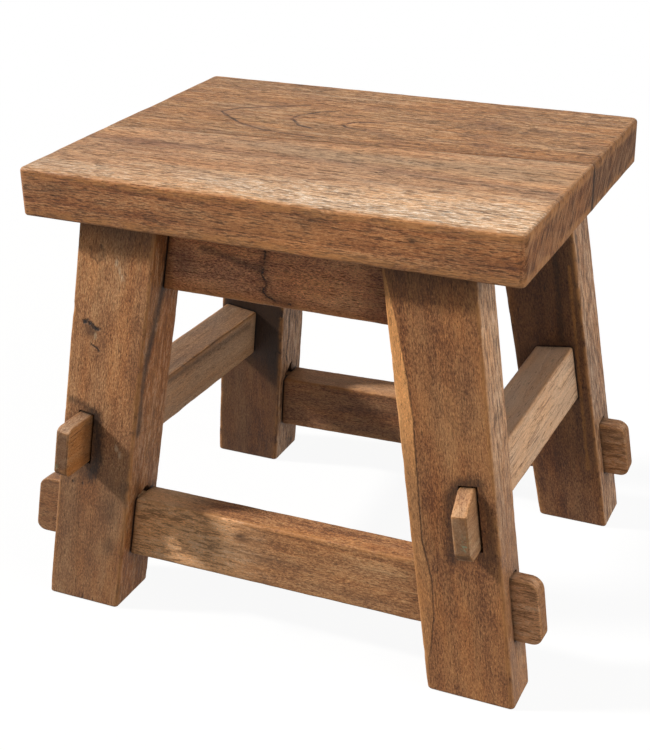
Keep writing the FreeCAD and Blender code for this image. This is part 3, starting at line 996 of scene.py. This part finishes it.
def rear_plank_marks(grain):
    """A pale cast on top, partly painted light of the top, arched grain lines and a check at the
    right end.
    """
    up = grain.upward()
    # A pale cast on top: drier wood, and painted light on the face turned up to the lamp
    yield "9e754a", up * 0.44
    yield from weathered(grain, up)
    arches = (
        (
            (-20, 1), (-57, 3), (-77, 7), (-101, 17), (-120, 32), (-133, 44), (-123, 58), (-94, 77),
            (-71, 89),
        ),
        ((-40, 24), (-53, 29), (-67, 46), (-65, 57), (-53, 72), (-39, 81)),
        ((5, 33), (-14, 37), (-20, 43), (-12, 54), (10, 60)),
    )
    for arch in arches:
        places = on_face(arch, SEAT_TOP)
        yield "7a5337", grain.smeared(places, 5.0, 0.35)
        away = grain.finish.drawn(grain.place, places) + (grain.torn - 0.5) * 3.0
        yield "382213", grain.step(away, 1.7, 0.5) * (0.45 + grain.broken * 0.5), 0.6
    for places in (
        ((-60, -6), (39, 4), (72, 5), (130, 12)),
        ((20, 22), (90, 30), (180, 37)),
        ((-20, 88), (40, 96)),
    ):
        yield "5a3c28", grain.scratched(on_face(places, SEAT_TOP), 1.5, 0.5), 0.3
    smudged = grain.step(grain.noise((0.025, 0.05, 0.05), 3.0, 0.6), 0.5, 0.66)
    yield "7a5238", up * smudged * 0.45
    speckled = grain.noise((0.14, 0.3, 0.3), 2.0, 0.7)
    dotted = grain.step(speckled, 0.54, 0.64) * grain.step(grain.x, 20.0, 70.0)
    yield "583a26", up * dotted * 0.55, 0.2
    check = grain.line(((158, 118, 19), (199, 119, 19), (200, 119, 4)))
    yield "2a1910", grain.step(check, 1.2, 0.4) * 0.85, 1.2
    yield "5c3c24", grain.along(grain.facing_x) * 0.55
    yield from sawn_end(grain)


def front_left_leg_marks(grain):
    """Two knots and a check on the front, dark stains down the inner side and near the floor, and
    painted shade on the lower front and at the top under the seat.
    """
    front = grain.step(grain.facing_z, -0.3, -0.7)
    # Painted shade: the lower front darker, below the left stretcher's tenon
    yield "57402f", front * grain.step(grain.x + grain.y * 0.5, 170.0, 118.0) * 0.42
    # Painted shade: darker at the top, under the seat
    yield "2a1a10", grain.step(grain.x, 312.0, 336.0) * 0.5
    # Upper knot: a dull oval with a pale heart and torn fibres round it
    yield "54382a", grain.spot((313, -15, -24), (12, 10, 12)) * 0.5
    yield "ab8763", grain.spot((310, -13, -24), (5, 3, 8)) * grain.torn * 1.3
    ring = ((319, -13), (316, -9), (309, -9), (305, -14), (308, -20), (315, -21))
    yield "40291a", grain.scratched(on_face(ring, -24), 1.3, 0.5), 0.3
    # Lower knot: a torn hollow with a black upper rim
    yield "4b3426", grain.spot((247, -14.5, -24), (12, 10, 9)) * (0.35 + grain.torn * 0.9), 0.4
    rim = ((252, -21), (254, -18), (251, -13), (250, -8))
    yield "1c100a", grain.scratched(on_face(rim, -24), 2.6, 1.0), 1.8
    yield "b8a081", grain.spot((244, -10.5, -24), (4.5, 2.2, 5)) * grain.torn * 1.5
    check = grain.line(on_face(((236, -13), (232, -6)), -24))
    yield "22140c", grain.step(check, 1.2, 0.4) * 0.85, 1.2
    for x, y in ((309, 3), (303, 6), (298, 9), (153, 18), (148, 22)):
        yield "d4b491", grain.spot((x, y, -24), (5, 2.4, 4)) * grain.torn * 1.4
    for x, y, size in ((94, 17, 22), (60, 20, 16), (120, 30, 14), (125, -12, 20)):
        yield "35241a", grain.spot((x, y, -24), (size, size * 0.6, 9)) * grain.torn * 0.9
    # Inner side: golden, with a dark stain that runs down to the front arris
    inner = grain.along(grain.facing_y)
    yield from bare_side(grain, inner * 0.6, "965c28", 0.85)
    run = ((300, 33, -1), (264, 33, -9), (237, 33, -16), (212, 33, -20), (170, 33, -19))
    yield "24150c", grain.smeared(run, 8.0, 0.8)
    yield "3a2416", grain.spot((110, 33, -10), (60, 8, 9)) * grain.torn * 0.9
    # Dirt round the left stretcher's tenon
    beside = ((175, -3), (160, 0), (137, 2), (119, -3))
    yield "1e120b", grain.smeared(on_face(beside, -24), 10.0, 0.9)
    above = ((182, -28), (181, -16), (176, -4))
    yield "281910", grain.smeared(on_face(above, -24), 6.0, 0.6)
    for x, y in ((108.4, -19.3), (110, -10)):
        yield "1c110b", grain.finish.spot(grain.place, (x, y, -24), (2.4, 1.6, 5)), 0.8
    for x, y in ((0, 0), (0, 10)):
        yield "1c110b", grain.spot((x, y, -24), (7, 1.2, 5)) * 0.9, 1.0


def front_right_leg_marks(grain):
    """A strip of golden sapwood down the left edge, bounded by a thin dark line."""
    places = (
        (339, -33), (308, -28.5), (258, -24), (229, -22.8), (187, -24.3), (132, -26), (99, -21.4),
        (69, -22.8), (39, -28.3), (18, -34),
    )
    line = grain.finish.node(
        "ShaderNodeValToRGB",
        {"stops": [(x / 340, (-y / 40,) * 3 + (1.0,)) for x, y in places[::-1]]},
        {0: grain.x / 340.0},
    )
    ragged = grain.noise((0.05, 0.2, 0.2), 3.0, 0.6)
    outside = grain.step(0 - grain.y + (ragged - 0.5) * 2.4 - line * 40.0, 0.0, 0.8)
    golden = 0.22 + grain.step(grain.x, 160.0, 250.0) * 0.7
    yield "dca26a", outside * golden * (0.6 + grain.torn * 0.8)
    away = grain.finish.drawn(grain.place, on_face(places, -18.8)) + (grain.torn - 0.5) * 1.2
    yield "3a2415", grain.step(away, 1.1, 0.3) * 0.75, 0.4
    # Dirt round the right stretcher's tenon
    beside = ((182, 22), (180, 8), (170, 0), (150, -2), (118, -3))
    yield "281910", grain.smeared(on_face(beside, -18.8), 8.0, 0.7)
    beyond = ((180, 24), (153, 29), (122, 28))
    yield "281910", grain.smeared(on_face(beyond, -18.8), 5.0, 0.4)
    # Painted shade: darker at the top, under the seat
    yield "2a1a10", grain.step(grain.x, 312.0, 336.0) * 0.4
    for size in (6, 11, 16):
        ring = abs(grain.spot((237, 14, -18.5), (size * 1.5, size, 12)) - 0.3)
        yield "4c301d", grain.step(ring, 0.1, 0.02) * grain.torn * 0.5, 0.2
    outer = grain.along(grain.facing_y)
    high = grain.step(grain.x, 110.0, 240.0)
    yield from bare_side(grain, outer * (0.32 + high * 0.68), "cea480", 0.64)


def rear_right_leg_marks(grain):
    """Dark along the inner part of the front, with a golden streak near the arris, and painted
    shade over the front, darker towards the top.
    """
    front = grain.against(grain.facing_z)
    high = grain.step(grain.x, 120.0, 230.0)
    # Painted shade across the front, darker towards the top
    yield "2a190f", front * (0.22 + high * 0.25)
    yield "1b100a", grain.smeared(((330, 17, -23), (238, 15, -23), (190, 12, -23)), 6.0, 0.7)
    yield "b47c44", grain.smeared(((260, 27, -23), (150, 24, -23), (60, 22, -23)), 2.6, 0.55)
    yield from bare_side(grain, grain.along(grain.facing_y), "c09470", 0.5)


def rear_left_leg_marks(grain):
    """Dark across its front and darkest towards the top: painted shade of the seat over it."""
    front = grain.against(grain.facing_z)
    # Painted shade across the front, darkest towards the top
    yield "120803", front * (0.42 + grain.step(grain.x + grain.y, 95.0, 150.0) * 0.46)
    yield from bare_side(grain, grain.along(grain.facing_y), "c49874", 0.55)
    crack = (
        (112, 32.5, -6), (123, 32.5, -11.6), (134, 32.5, -9.4), (150, 32.5, -7.9),
        (182, 32.5, -7.5),
    )
    yield "120a06", grain.scratched(crack, 1.6, 0.95), 0.8


def front_apron_marks(grain):
    """A crack that wanders down from a dark line, and a golden lower edge."""
    ragged = grain.noise((0.04, 0.1, 0.1), 3.0, 0.6)
    gold = grain.step(grain.z + (ragged - 0.5) * 16.0, -15.0, -26.0)
    yield "a3693c", gold * 0.5
    left = grain.step(grain.x + (ragged - 0.5) * 14.0, -86.0, -94.0)
    yield "9a6638", left * 0.6
    yield "3a2224", grain.spot((-80, 20, -3), (16, 12, 22)) * 0.5
    yield "33201a", grain.step(grain.x, 66.0, 84.0) * 0.4
    crack = (
        (-9, 20, 22), (-11, 20, 6), (-13, 20, -3), (-9, 20, -10), (-12, 20, -16), (-9, 20, -20),
        (-2, 20, -22.6), (11, 20, -23.5),
    )
    yield "2b1913", grain.smeared(crack, 8.0, 0.5)
    yield "120a06", grain.scratched(crack, 1.2, 0.95), 0.8
    branch = ((-64, 20, 10), (-45, 20, 7), (-31, 20, 3), (-15, 20, 0))
    yield "231410", grain.smeared(branch, 5.0, 0.6)
    yield "1c100a", grain.spot((7, 20, 2), (4, 4, 2)) * 0.7, 0.8


def front_rail_marks(grain):
    """A small knot on the front, dirt where the top meets the left leg, and painted light on the
    left part of its front and top.
    """
    front = grain.against(grain.facing_y)
    free = grain.step(abs(grain.x), 166.0, 158.0)
    left = grain.step(grain.x, 10.0, -60.0)
    # Painted light: paler on the left part of the front and top, where the shadow of the front left
    # leg and its tenon falls
    yield from bare_side(grain, front * free * (0.05 + left * 0.7), "f0b884", 0.95)
    yield "ecc8a0", grain.upward() * free * grain.step(grain.x, -50.0, -110.0) * 0.7
    yield "6a5240", grain.step(grain.x, -162.0, -172.0) * 0.45
    yield from bare_side(grain, grain.step(grain.x, 162.0, 172.0) * 0.7, "e4a878", 0.95)
    yield "5c3e29", grain.spot((-29, 12, 12), (12, 5, 9)) * (0.3 + grain.torn * 0.8)
    yield "2f1d12", grain.spot((-30, 12, 13), (5, 4, 2.4)) * 0.7, 0.8


def left_rail_marks(grain):
    """Grey on top, with a dark streak along the upper arris."""
    free = grain.step(grain.x, 150.0, 140.0)
    yield "6c5a4a", grain.upward() * free * 0.5
    inner = grain.along(grain.facing_y)
    yield "cca47e", inner * free * 0.52
    yield "b87a3c", inner * (1 - free) * 0.62
    # Darker on the tenon's inner face where it comes out of the front left leg: dirt at the mortise
    # mouth, and painted shade
    yield "341e10", inner * grain.step(grain.x, 173.0, 160.0) * (1 - free) * 0.45
    yield "3a281c", grain.smeared(((-90, 41, 14), (-10, 41.5, 17), (60, 41.5, 19)), 7.0, 0.6)
    yield "8c9a7c", grain.spot((187, 15, -12), (5, 4, 3)) * 0.7
    yield "b9b79a", grain.spot((187, 15, -14), (3, 2, 1.6)) * 0.8


def right_rail_marks(grain):
    """Pale and dry on its outer face, grey on top and lightened there as painted light where the
    seat's shadow falls, with a green patina at the tenon's end.
    """
    free = grain.step(grain.x, -150.0, -140.0)
    # Painted light: paler on top, where the seat's shadow falls
    yield "d0ae92", grain.upward() * free * 0.7
    out = grain.against(grain.facing_y) * free
    yield "f0c8a4", out * 0.62
    yield "a47450", (1 - free) * 0.24
    stroke = grain.noise((0.02, 0.5, 0.5), 4.0, 0.7)
    yield "7d5640", out * grain.step(stroke, 0.52, 0.63) * 0.6, 0.3
    yield "a9835f", grain.spot((-173, 15, 18), (12, 14, 14)) * 0.5
    lichen = grain.step(grain.noise((0.5, 0.5, 0.5), 2.0, 0.6), 0.46, 0.58)
    yield "8f8c6c", grain.spot((-174, 15, -6), (7, 6, 11)) * lichen * 0.8
    yield "a3b795", grain.spot((-174.5, 16, -11), (5, 4, 4.5)) * lichen


def rear_rail_marks(grain):
    """Paler on top, as painted light where the seat's shadow falls, and at the tenon that stands
    out on the right.
    """
    # Painted light: paler on top, where the seat's shadow falls
    yield "c89a70", grain.upward() * grain.step(grain.x, -160.0, -150.0) * 0.4
    yield from bare_side(grain, grain.step(grain.x, -160.0, -170.0) * 0.7, "cc9668", 0.95)


# Timbers of the stool

SIDE_CORNER = ("round", 7.0, 0.0)
LONG_CORNER = ("round", 9.0, 0.0)
SHORT_CORNER = ("round", 3.0, 0.0)
CRISP = ("round", 0.5, 0.0)


def worked_end(leg_name, out, top, bottom, turned=False, outside=True, loose=(0.0, 0.0, 0.0, 0.0)):
    """One end of a member: the leg faces it goes through and how its tenon is worked.

    Its tip is measured from the leg's outer face, or from the inner one for a stub.
    loose is the play of its mortise at its outer and inner side, bottom and top.
    """
    return {
        "along": STANCES[leg_name][3 if turned else 2],
        "out": out,
        "top": top,
        "bottom": bottom,
        "outside": outside,
        "loose": loose,
    }


def stub(leg_name):
    return worked_end(leg_name, 22.0, CRISP, CRISP, outside=False)


LONG_RAIL = dict(
    across=COMMON_Y, thickness=28.0, inset=12.0, tenon_thickness=15.0, tenon_inset=15.5,
    shoulders=(1.0, 1.0), arris=2.0, tenon_arris=1.4, shoulder_gap=0.3, level_top=False, hewn=0.0,
)
SIDE_RAIL = dict(
    across=COMMON_X, shoulders=(1.0, 1.0), arris=2.0, tenon_arris=1.4, shoulder_gap=0.3,
    level_top=False,
)
APRON = dict(
    across=COMMON_Y, height=55.0, thickness=17.0, inset=20.0, tenon_thickness=8.0, tenon_inset=24.5,
    shoulders=(8.0, 14.0), arris=1.8, tenon_arris=0.6, shoulder_gap=0.25, level_top=True,
    middle=UNDERSIDE - 27.5, rise=0.0, hewn=0.0,
)
MEMBERS = {
    "apron_front": dict(APRON, turn=0, start=stub("leg_front_left"), end=stub("leg_front_right")),
    "apron_rear": dict(APRON, turn=180, start=stub("leg_rear_right"), end=stub("leg_rear_left")),
    "stretcher_front": dict(
        LONG_RAIL, turn=0, height=53.0, middle=75.6, rise=3.2,
        start=worked_end("leg_front_left", 29.0, LONG_CORNER, LONG_CORNER),
        end=worked_end(
            "leg_front_right", 22.0, LONG_CORNER, LONG_CORNER, loose=(0.9, 0.3, 0.2, 0.9),
        ),
    ),
    "stretcher_rear": dict(
        LONG_RAIL, turn=180, height=52.0, middle=72.8, rise=-10.0,
        start=worked_end(
            "leg_rear_right", 23.0, LONG_CORNER, LONG_CORNER, loose=(0.2, 0.8, 0.2, 0.8),
        ),
        end=worked_end("leg_rear_left", 6.0, SHORT_CORNER, SHORT_CORNER),
    ),
    "stretcher_right": dict(
        SIDE_RAIL, turn=90, middle=157.5, rise=4.0, height=52.0, thickness=34.0, inset=11.5,
        tenon_thickness=12.5, tenon_inset=12.0, hewn=11.0,
        start=worked_end(
            "leg_front_right", 21.0, ("slope", 18.0, 12.0), ("slope", 6.0, 8.0), True,
            loose=(1.3, 0.2, 0.1, 1.2),
        ),
        end=worked_end("leg_rear_right", 18.0, SIDE_CORNER, SIDE_CORNER, True),
    ),
    "stretcher_left": dict(
        SIDE_RAIL, turn=270, middle=152.2, rise=9.0, height=45.5, thickness=32.0, inset=9.5,
        tenon_thickness=12.0, tenon_inset=13.0, hewn=0.0,
        start=worked_end("leg_rear_left", 18.0, SIDE_CORNER, SIDE_CORNER, True),
        end=worked_end(
            "leg_front_left", 33.0, ("slope", 4.0, 3.0), SIDE_CORNER, True,
            loose=(0.2, 1.1, 0.2, 0.6),
        ),
    ),
}
# Which member ends come into each leg, as (member, side along the member)
ENDS_IN_LEGS = {
    "leg_front_left": (("stretcher_front", -1), ("stretcher_left", 1), ("apron_front", -1)),
    "leg_front_right": (("stretcher_front", 1), ("stretcher_right", -1), ("apron_front", 1)),
    "leg_rear_left": (("stretcher_rear", 1), ("stretcher_left", -1), ("apron_rear", 1)),
    "leg_rear_right": (("stretcher_rear", -1), ("stretcher_right", 1), ("apron_rear", -1)),
}

# Splinters broken off above the long stretchers, up and through the leg
SPLINTERS = {
    "leg_front_left": (
        (101, -9), (107.2, -8), (107, -2), (110.6, 3), (110.2, 7), (106.8, 10), (101, 11),
    ),
    "leg_rear_left": (
        (97, -12), (103.2, -11), (104.6, -6), (109.4, -1), (110, 2.6), (104.4, 1.4), (97, 4),
    ),
}

pieces = {}

for node_name, side, seed in (("seat_board_front", -1, 1), ("seat_board_rear", 1, 2)):
    pieces[node_name] = make_piece(node_name.replace("board", "plank"), *plank(side, seed))

for seed, (node_name, member) in enumerate(MEMBERS.items(), 11):
    body = skin(member_rings(member, seed))
    pieces[node_name] = make_piece("worked_" + node_name, body, set_in_frame(member_frame(member)))

for seed, (node_name, ends) in enumerate(ENDS_IN_LEGS.items(), 31):
    body, own = leg(STANCES[node_name], seed)
    piece = make_piece("worked_" + node_name, body, set_in_frame(own))
    cutters = [mortise(MEMBERS[member_name], side, seed) for member_name, side in ends]
    if node_name in SPLINTERS:
        cutters.append(chip(SPLINTERS[node_name], own))
    cut(piece, cutters)
    pieces[node_name] = piece


# How near another timber dirt and painted shade are looked for, and how far they spread, in metres
DIRT_AND_SHADE_LIMIT = 0.02
DIRT_AND_SHADE_SPREAD = 0.0035


def settle_dirt_and_shade(pieces):
    """Dirt and painted shade gather where timbers meet: 1 at a joint, 0 a few millimetres away."""
    places = {}
    trees = {}
    boxes = {}
    bpy.context.view_layer.update()
    for name, piece in pieces.items():
        matrix = piece.matrix_world
        points = [matrix @ vertex.co for vertex in piece.data.vertices]
        polygons = [tuple(polygon.vertices) for polygon in piece.data.polygons]
        places[name] = points
        trees[name] = BVHTree.FromPolygons(points, polygons)
        low = [min(point[i] for point in points) - DIRT_AND_SHADE_LIMIT for i in range(3)]
        high = [max(point[i] for point in points) + DIRT_AND_SHADE_LIMIT for i in range(3)]
        boxes[name] = (low, high)
    for name, piece in pieces.items():
        low, high = boxes[name]
        others = []
        for other, (other_low, other_high) in boxes.items():
            beside = all(low[i] < other_high[i] and other_low[i] < high[i] for i in range(3))
            if other != name and beside:
                others.append(other)
        values = []
        for point in places[name]:
            nearest = DIRT_AND_SHADE_LIMIT
            for other in others:
                other_low, other_high = boxes[other]
                if not all(other_low[i] < point[i] < other_high[i] for i in range(3)):
                    continue
                found = trees[other].find_nearest(point, nearest)
                if found[0] is not None:
                    nearest = found[3]
            dirt_and_shade = math.exp(-nearest / DIRT_AND_SHADE_SPREAD) if nearest < DIRT_AND_SHADE_LIMIT else 0.0
            if name.startswith("seat") and point.z > (HEIGHT - 3) * MM:
                dirt_and_shade *= 0.35 * opened((point.x - MIDDLE.x) / MM)
            values.append(dirt_and_shade)
        grime = piece.data.attributes.new("grime", "FLOAT", "POINT")
        grime.data.foreach_set("value", values)


settle_dirt_and_shade(pieces)

SEAT_FIBRES = dict(fuzz=0.7, open_pores=1.0, fineness=(0.3, 0.8, 1.0))
FINISHES = {
    "seat_board_front": wood(
        "teak_front_plank", 1, ("70432a", "ab734a", "cd996b"), (-10.0, 260.0), 16.0,
        streaks=0.5, smudges=0.55, marks=front_plank_marks, **SEAT_FIBRES,
    ),
    "seat_board_rear": wood(
        "teak_rear_plank", 2, ("6d442b", "9e6c46", "bf8e62"), (44.0, -46.0), 13.0, -0.16, late=0.12,
        streaks=0.6, smudges=0.7, marks=rear_plank_marks, **SEAT_FIBRES,
    ),
    "leg_front_left": wood(
        "teak_front_left_leg", 3, ("704930", "a5734c", "c39468"), (60.0, 90.0), 15.0, late=0.08,
        streaks=0.35, marks=front_left_leg_marks,
    ),
    "leg_front_right": wood(
        "teak_front_right_leg", 4, ("5c3822", "8f603d", "ad7c50"), (70.0, -80.0), 14.0, late=0.06,
        streaks=0.3, marks=front_right_leg_marks,
    ),
    # The rear legs get darker tones than the front ones: their wood, and painted shade of the seat
    # over them
    "leg_rear_left": wood(
        "teak_rear_left_leg", 5, ("523322", "82583b", "9d734f"), (-50.0, 80.0), 15.0, late=0.1,
        streaks=0.45, fuzz=0.7, marks=rear_left_leg_marks,
    ),
    "leg_rear_right": wood(
        "teak_rear_right_leg", 6, ("4f2f1d", "7f5437", "9c6f49"), (-60.0, -90.0), 15.0, late=0.1,
        streaks=0.5, marks=rear_right_leg_marks,
    ),
    "apron_front": wood(
        "teak_front_apron", 7, ("774a36", "c38560", "e2ab7a"), (-30.0, 70.0), 12.0, late=0.1,
        streaks=0.4, fuzz=1.1, marks=front_apron_marks,
    ),
    "apron_rear": wood("teak_rear_apron", 8, ("553424", "8a5c40", "a97a53"), (30.0, 70.0), 12.0),
    "stretcher_front": wood(
        "teak_front_stretcher", 9, ("67422a", "a06f48", "be9064"), (40.0, -60.0), 11.0, late=0.12,
        streaks=0.7, marks=front_rail_marks,
    ),
    # Darker tones than the front stretcher: its wood, and painted shade of the seat over it
    "stretcher_rear": wood(
        "teak_rear_stretcher", 10, ("5c3a27", "8f6243", "b0845c"), (-40.0, 70.0), 12.0, late=0.12,
        marks=rear_rail_marks,
    ),
    "stretcher_left": wood(
        "teak_left_stretcher", 11, ("664733", "957053", "b39172"), (40.0, 80.0), 12.0, streaks=0.9,
        fuzz=0.9, marks=left_rail_marks,
    ),
    "stretcher_right": wood(
        "teak_right_stretcher", 12, ("775339", "b08863", "d0aa84"), (-50.0, 60.0), 12.0,
        streaks=1.0, fuzz=0.5, marks=right_rail_marks,
    ),
}

for node_name, piece in pieces.items():
    mesh = piece.data
    mesh.materials.clear()
    mesh.materials.append(FINISHES[node_name])
    for polygon in mesh.polygons:
        polygon.use_smooth = True
    mesh.set_sharp_from_angle(angle=math.radians(38))
    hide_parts(node_name)
    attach(piece, "root")

pin_wood = wood("pin_hardwood", 13, ("6a4a30", "a37a50", "c49c6e"), (30.0, 30.0), 6.0)
for node_name in ("seat_joint_pins", "seat_leg_pins"):
    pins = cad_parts[node_name]
    pins.data.materials.clear()
    pins.data.materials.append(pin_wood)

# Floor and light, in metres

FLOOR_REACH = 30.0
# How far from the stool the floor turns wholly white, from and to
SHADOW_FADES = (0.4, 2.0)


def looked_at(finish):
    """1 where the white studio is seen, straight, in a gloss or through glass."""
    straight = finish.node("ShaderNodeLightPath", {}, {}, "Is Camera Ray")
    glossy = finish.node("ShaderNodeLightPath", {}, {}, "Is Glossy Ray")
    passed_on = finish.node("ShaderNodeLightPath", {}, {}, "Is Transmission Ray")
    return straight.most(glossy).most(passed_on)


def floor_finish():
    """A white studio floor with the stool's soft shadow, darker in the light it throws back."""
    finish = Finish(bpy.data.materials.new("white_studio_floor"))
    seen = looked_at(finish)
    own = finish.node("ShaderNodeTexCoord", {}, {}, "Object")
    far = finish.step(finish.length(own), *SHADOW_FADES)
    matt = finish.node("ShaderNodeBsdfDiffuse", {}, {"Color": (0.22, 0.22, 0.22, 1.0)})
    pale = finish.node("ShaderNodeBsdfDiffuse", {}, {"Color": (0.9, 0.9, 0.9, 1.0)})
    white = finish.node("ShaderNodeEmission", {}, {"Color": (1.0, 1.0, 1.0, 1.0), "Strength": 1.0})
    shown = finish.node("ShaderNodeMixShader", {}, {0: 0.93 + far * 0.07, 1: pale, 2: white})
    shader = finish.node("ShaderNodeMixShader", {}, {0: seen, 1: matt, 2: shown})
    finish.node("ShaderNodeOutputMaterial", {}, {"Surface": shader})
    return finish.material


floor_mesh = bpy.data.meshes.new("studio_floor")
corners = [(FLOOR_REACH * x, FLOOR_REACH * y, 0) for x, y in ((-1, -1), (1, -1), (1, 1), (-1, 1))]
floor_mesh.from_pydata(corners, [], [(0, 1, 2, 3)])
floor_mesh.materials.append(floor_finish())
floor = bpy.data.objects.new("studio_floor", floor_mesh)
bpy.context.scene.collection.objects.link(floor)

world = bpy.data.worlds.new("studio")
bpy.context.scene.world = world
sky = Finish(world)
soft = sky.node("ShaderNodeBackground", {}, {"Color": (1.0, 0.98, 0.96, 1.0), "Strength": 0.13})
white = sky.node("ShaderNodeBackground", {}, {"Color": (1.0, 1.0, 1.0, 1.0), "Strength": 1.0})
shader = sky.node("ShaderNodeMixShader", {}, {0: looked_at(sky), 1: soft, 2: white})
sky.node("ShaderNodeOutputWorld", {}, {"Surface": shader})


def lamp(name, kind, energy, colour, towards, size, place=(0, 0, 1)):
    """A lamp whose light travels towards a direction."""
    data = bpy.data.lights.new(name, kind)
    data.energy = energy
    data.color = colour
    if kind == "SUN":
        data.angle = size
    else:
        data.shape = "RECTANGLE"
        data.size, data.size_y = size
    light = bpy.data.objects.new(name, data)
    bpy.context.scene.collection.objects.link(light)
    light.location = place
    light.rotation_euler = Vector(towards).to_track_quat("-Z", "Y").to_euler()


lamp("key_light", "SUN", 4.8, (1.0, 0.965, 0.91), (0.77, 0.24, -0.587), math.radians(6))
lamp(
    "fill_light", "AREA", 24.0, (1.0, 0.97, 0.93), (-0.85, 0.2, -0.45), (1.6, 1.6),
    place=(1.7, -0.4, 1.1),
)

# Camera at the photograph's viewing angle

CAMERA_FROM_MIDDLE = Vector((0.448, -0.9894, 0.6936))
yaw = math.radians(23.80)
pitch = math.radians(25.72)
roll = math.radians(-0.62)
forward = Vector(
    (-math.sin(yaw) * math.cos(pitch), math.cos(yaw) * math.cos(pitch), -math.sin(pitch))
)
right = Vector((math.cos(yaw), math.sin(yaw), 0))
up = right.cross(forward)
turned_right = right * math.cos(roll) + up * math.sin(roll)
turned_up = up * math.cos(roll) - right * math.sin(roll)
camera_data = bpy.data.cameras.new("camera")
camera_data.sensor_width = 36.0
camera_data.lens = 67.72
camera_data.shift_x = -0.0454
camera_data.shift_y = 0.0015
camera = bpy.data.objects.new("camera", camera_data)
bpy.context.scene.collection.objects.link(camera)
camera_matrix = Matrix((turned_right, turned_up, -forward)).transposed().to_4x4()
camera_matrix.translation = MIDDLE + CAMERA_FROM_MIDDLE
camera.matrix_world = camera_matrix
bpy.context.scene.camera = camera
bpy.context.scene.view_settings.view_transform = "Standard"
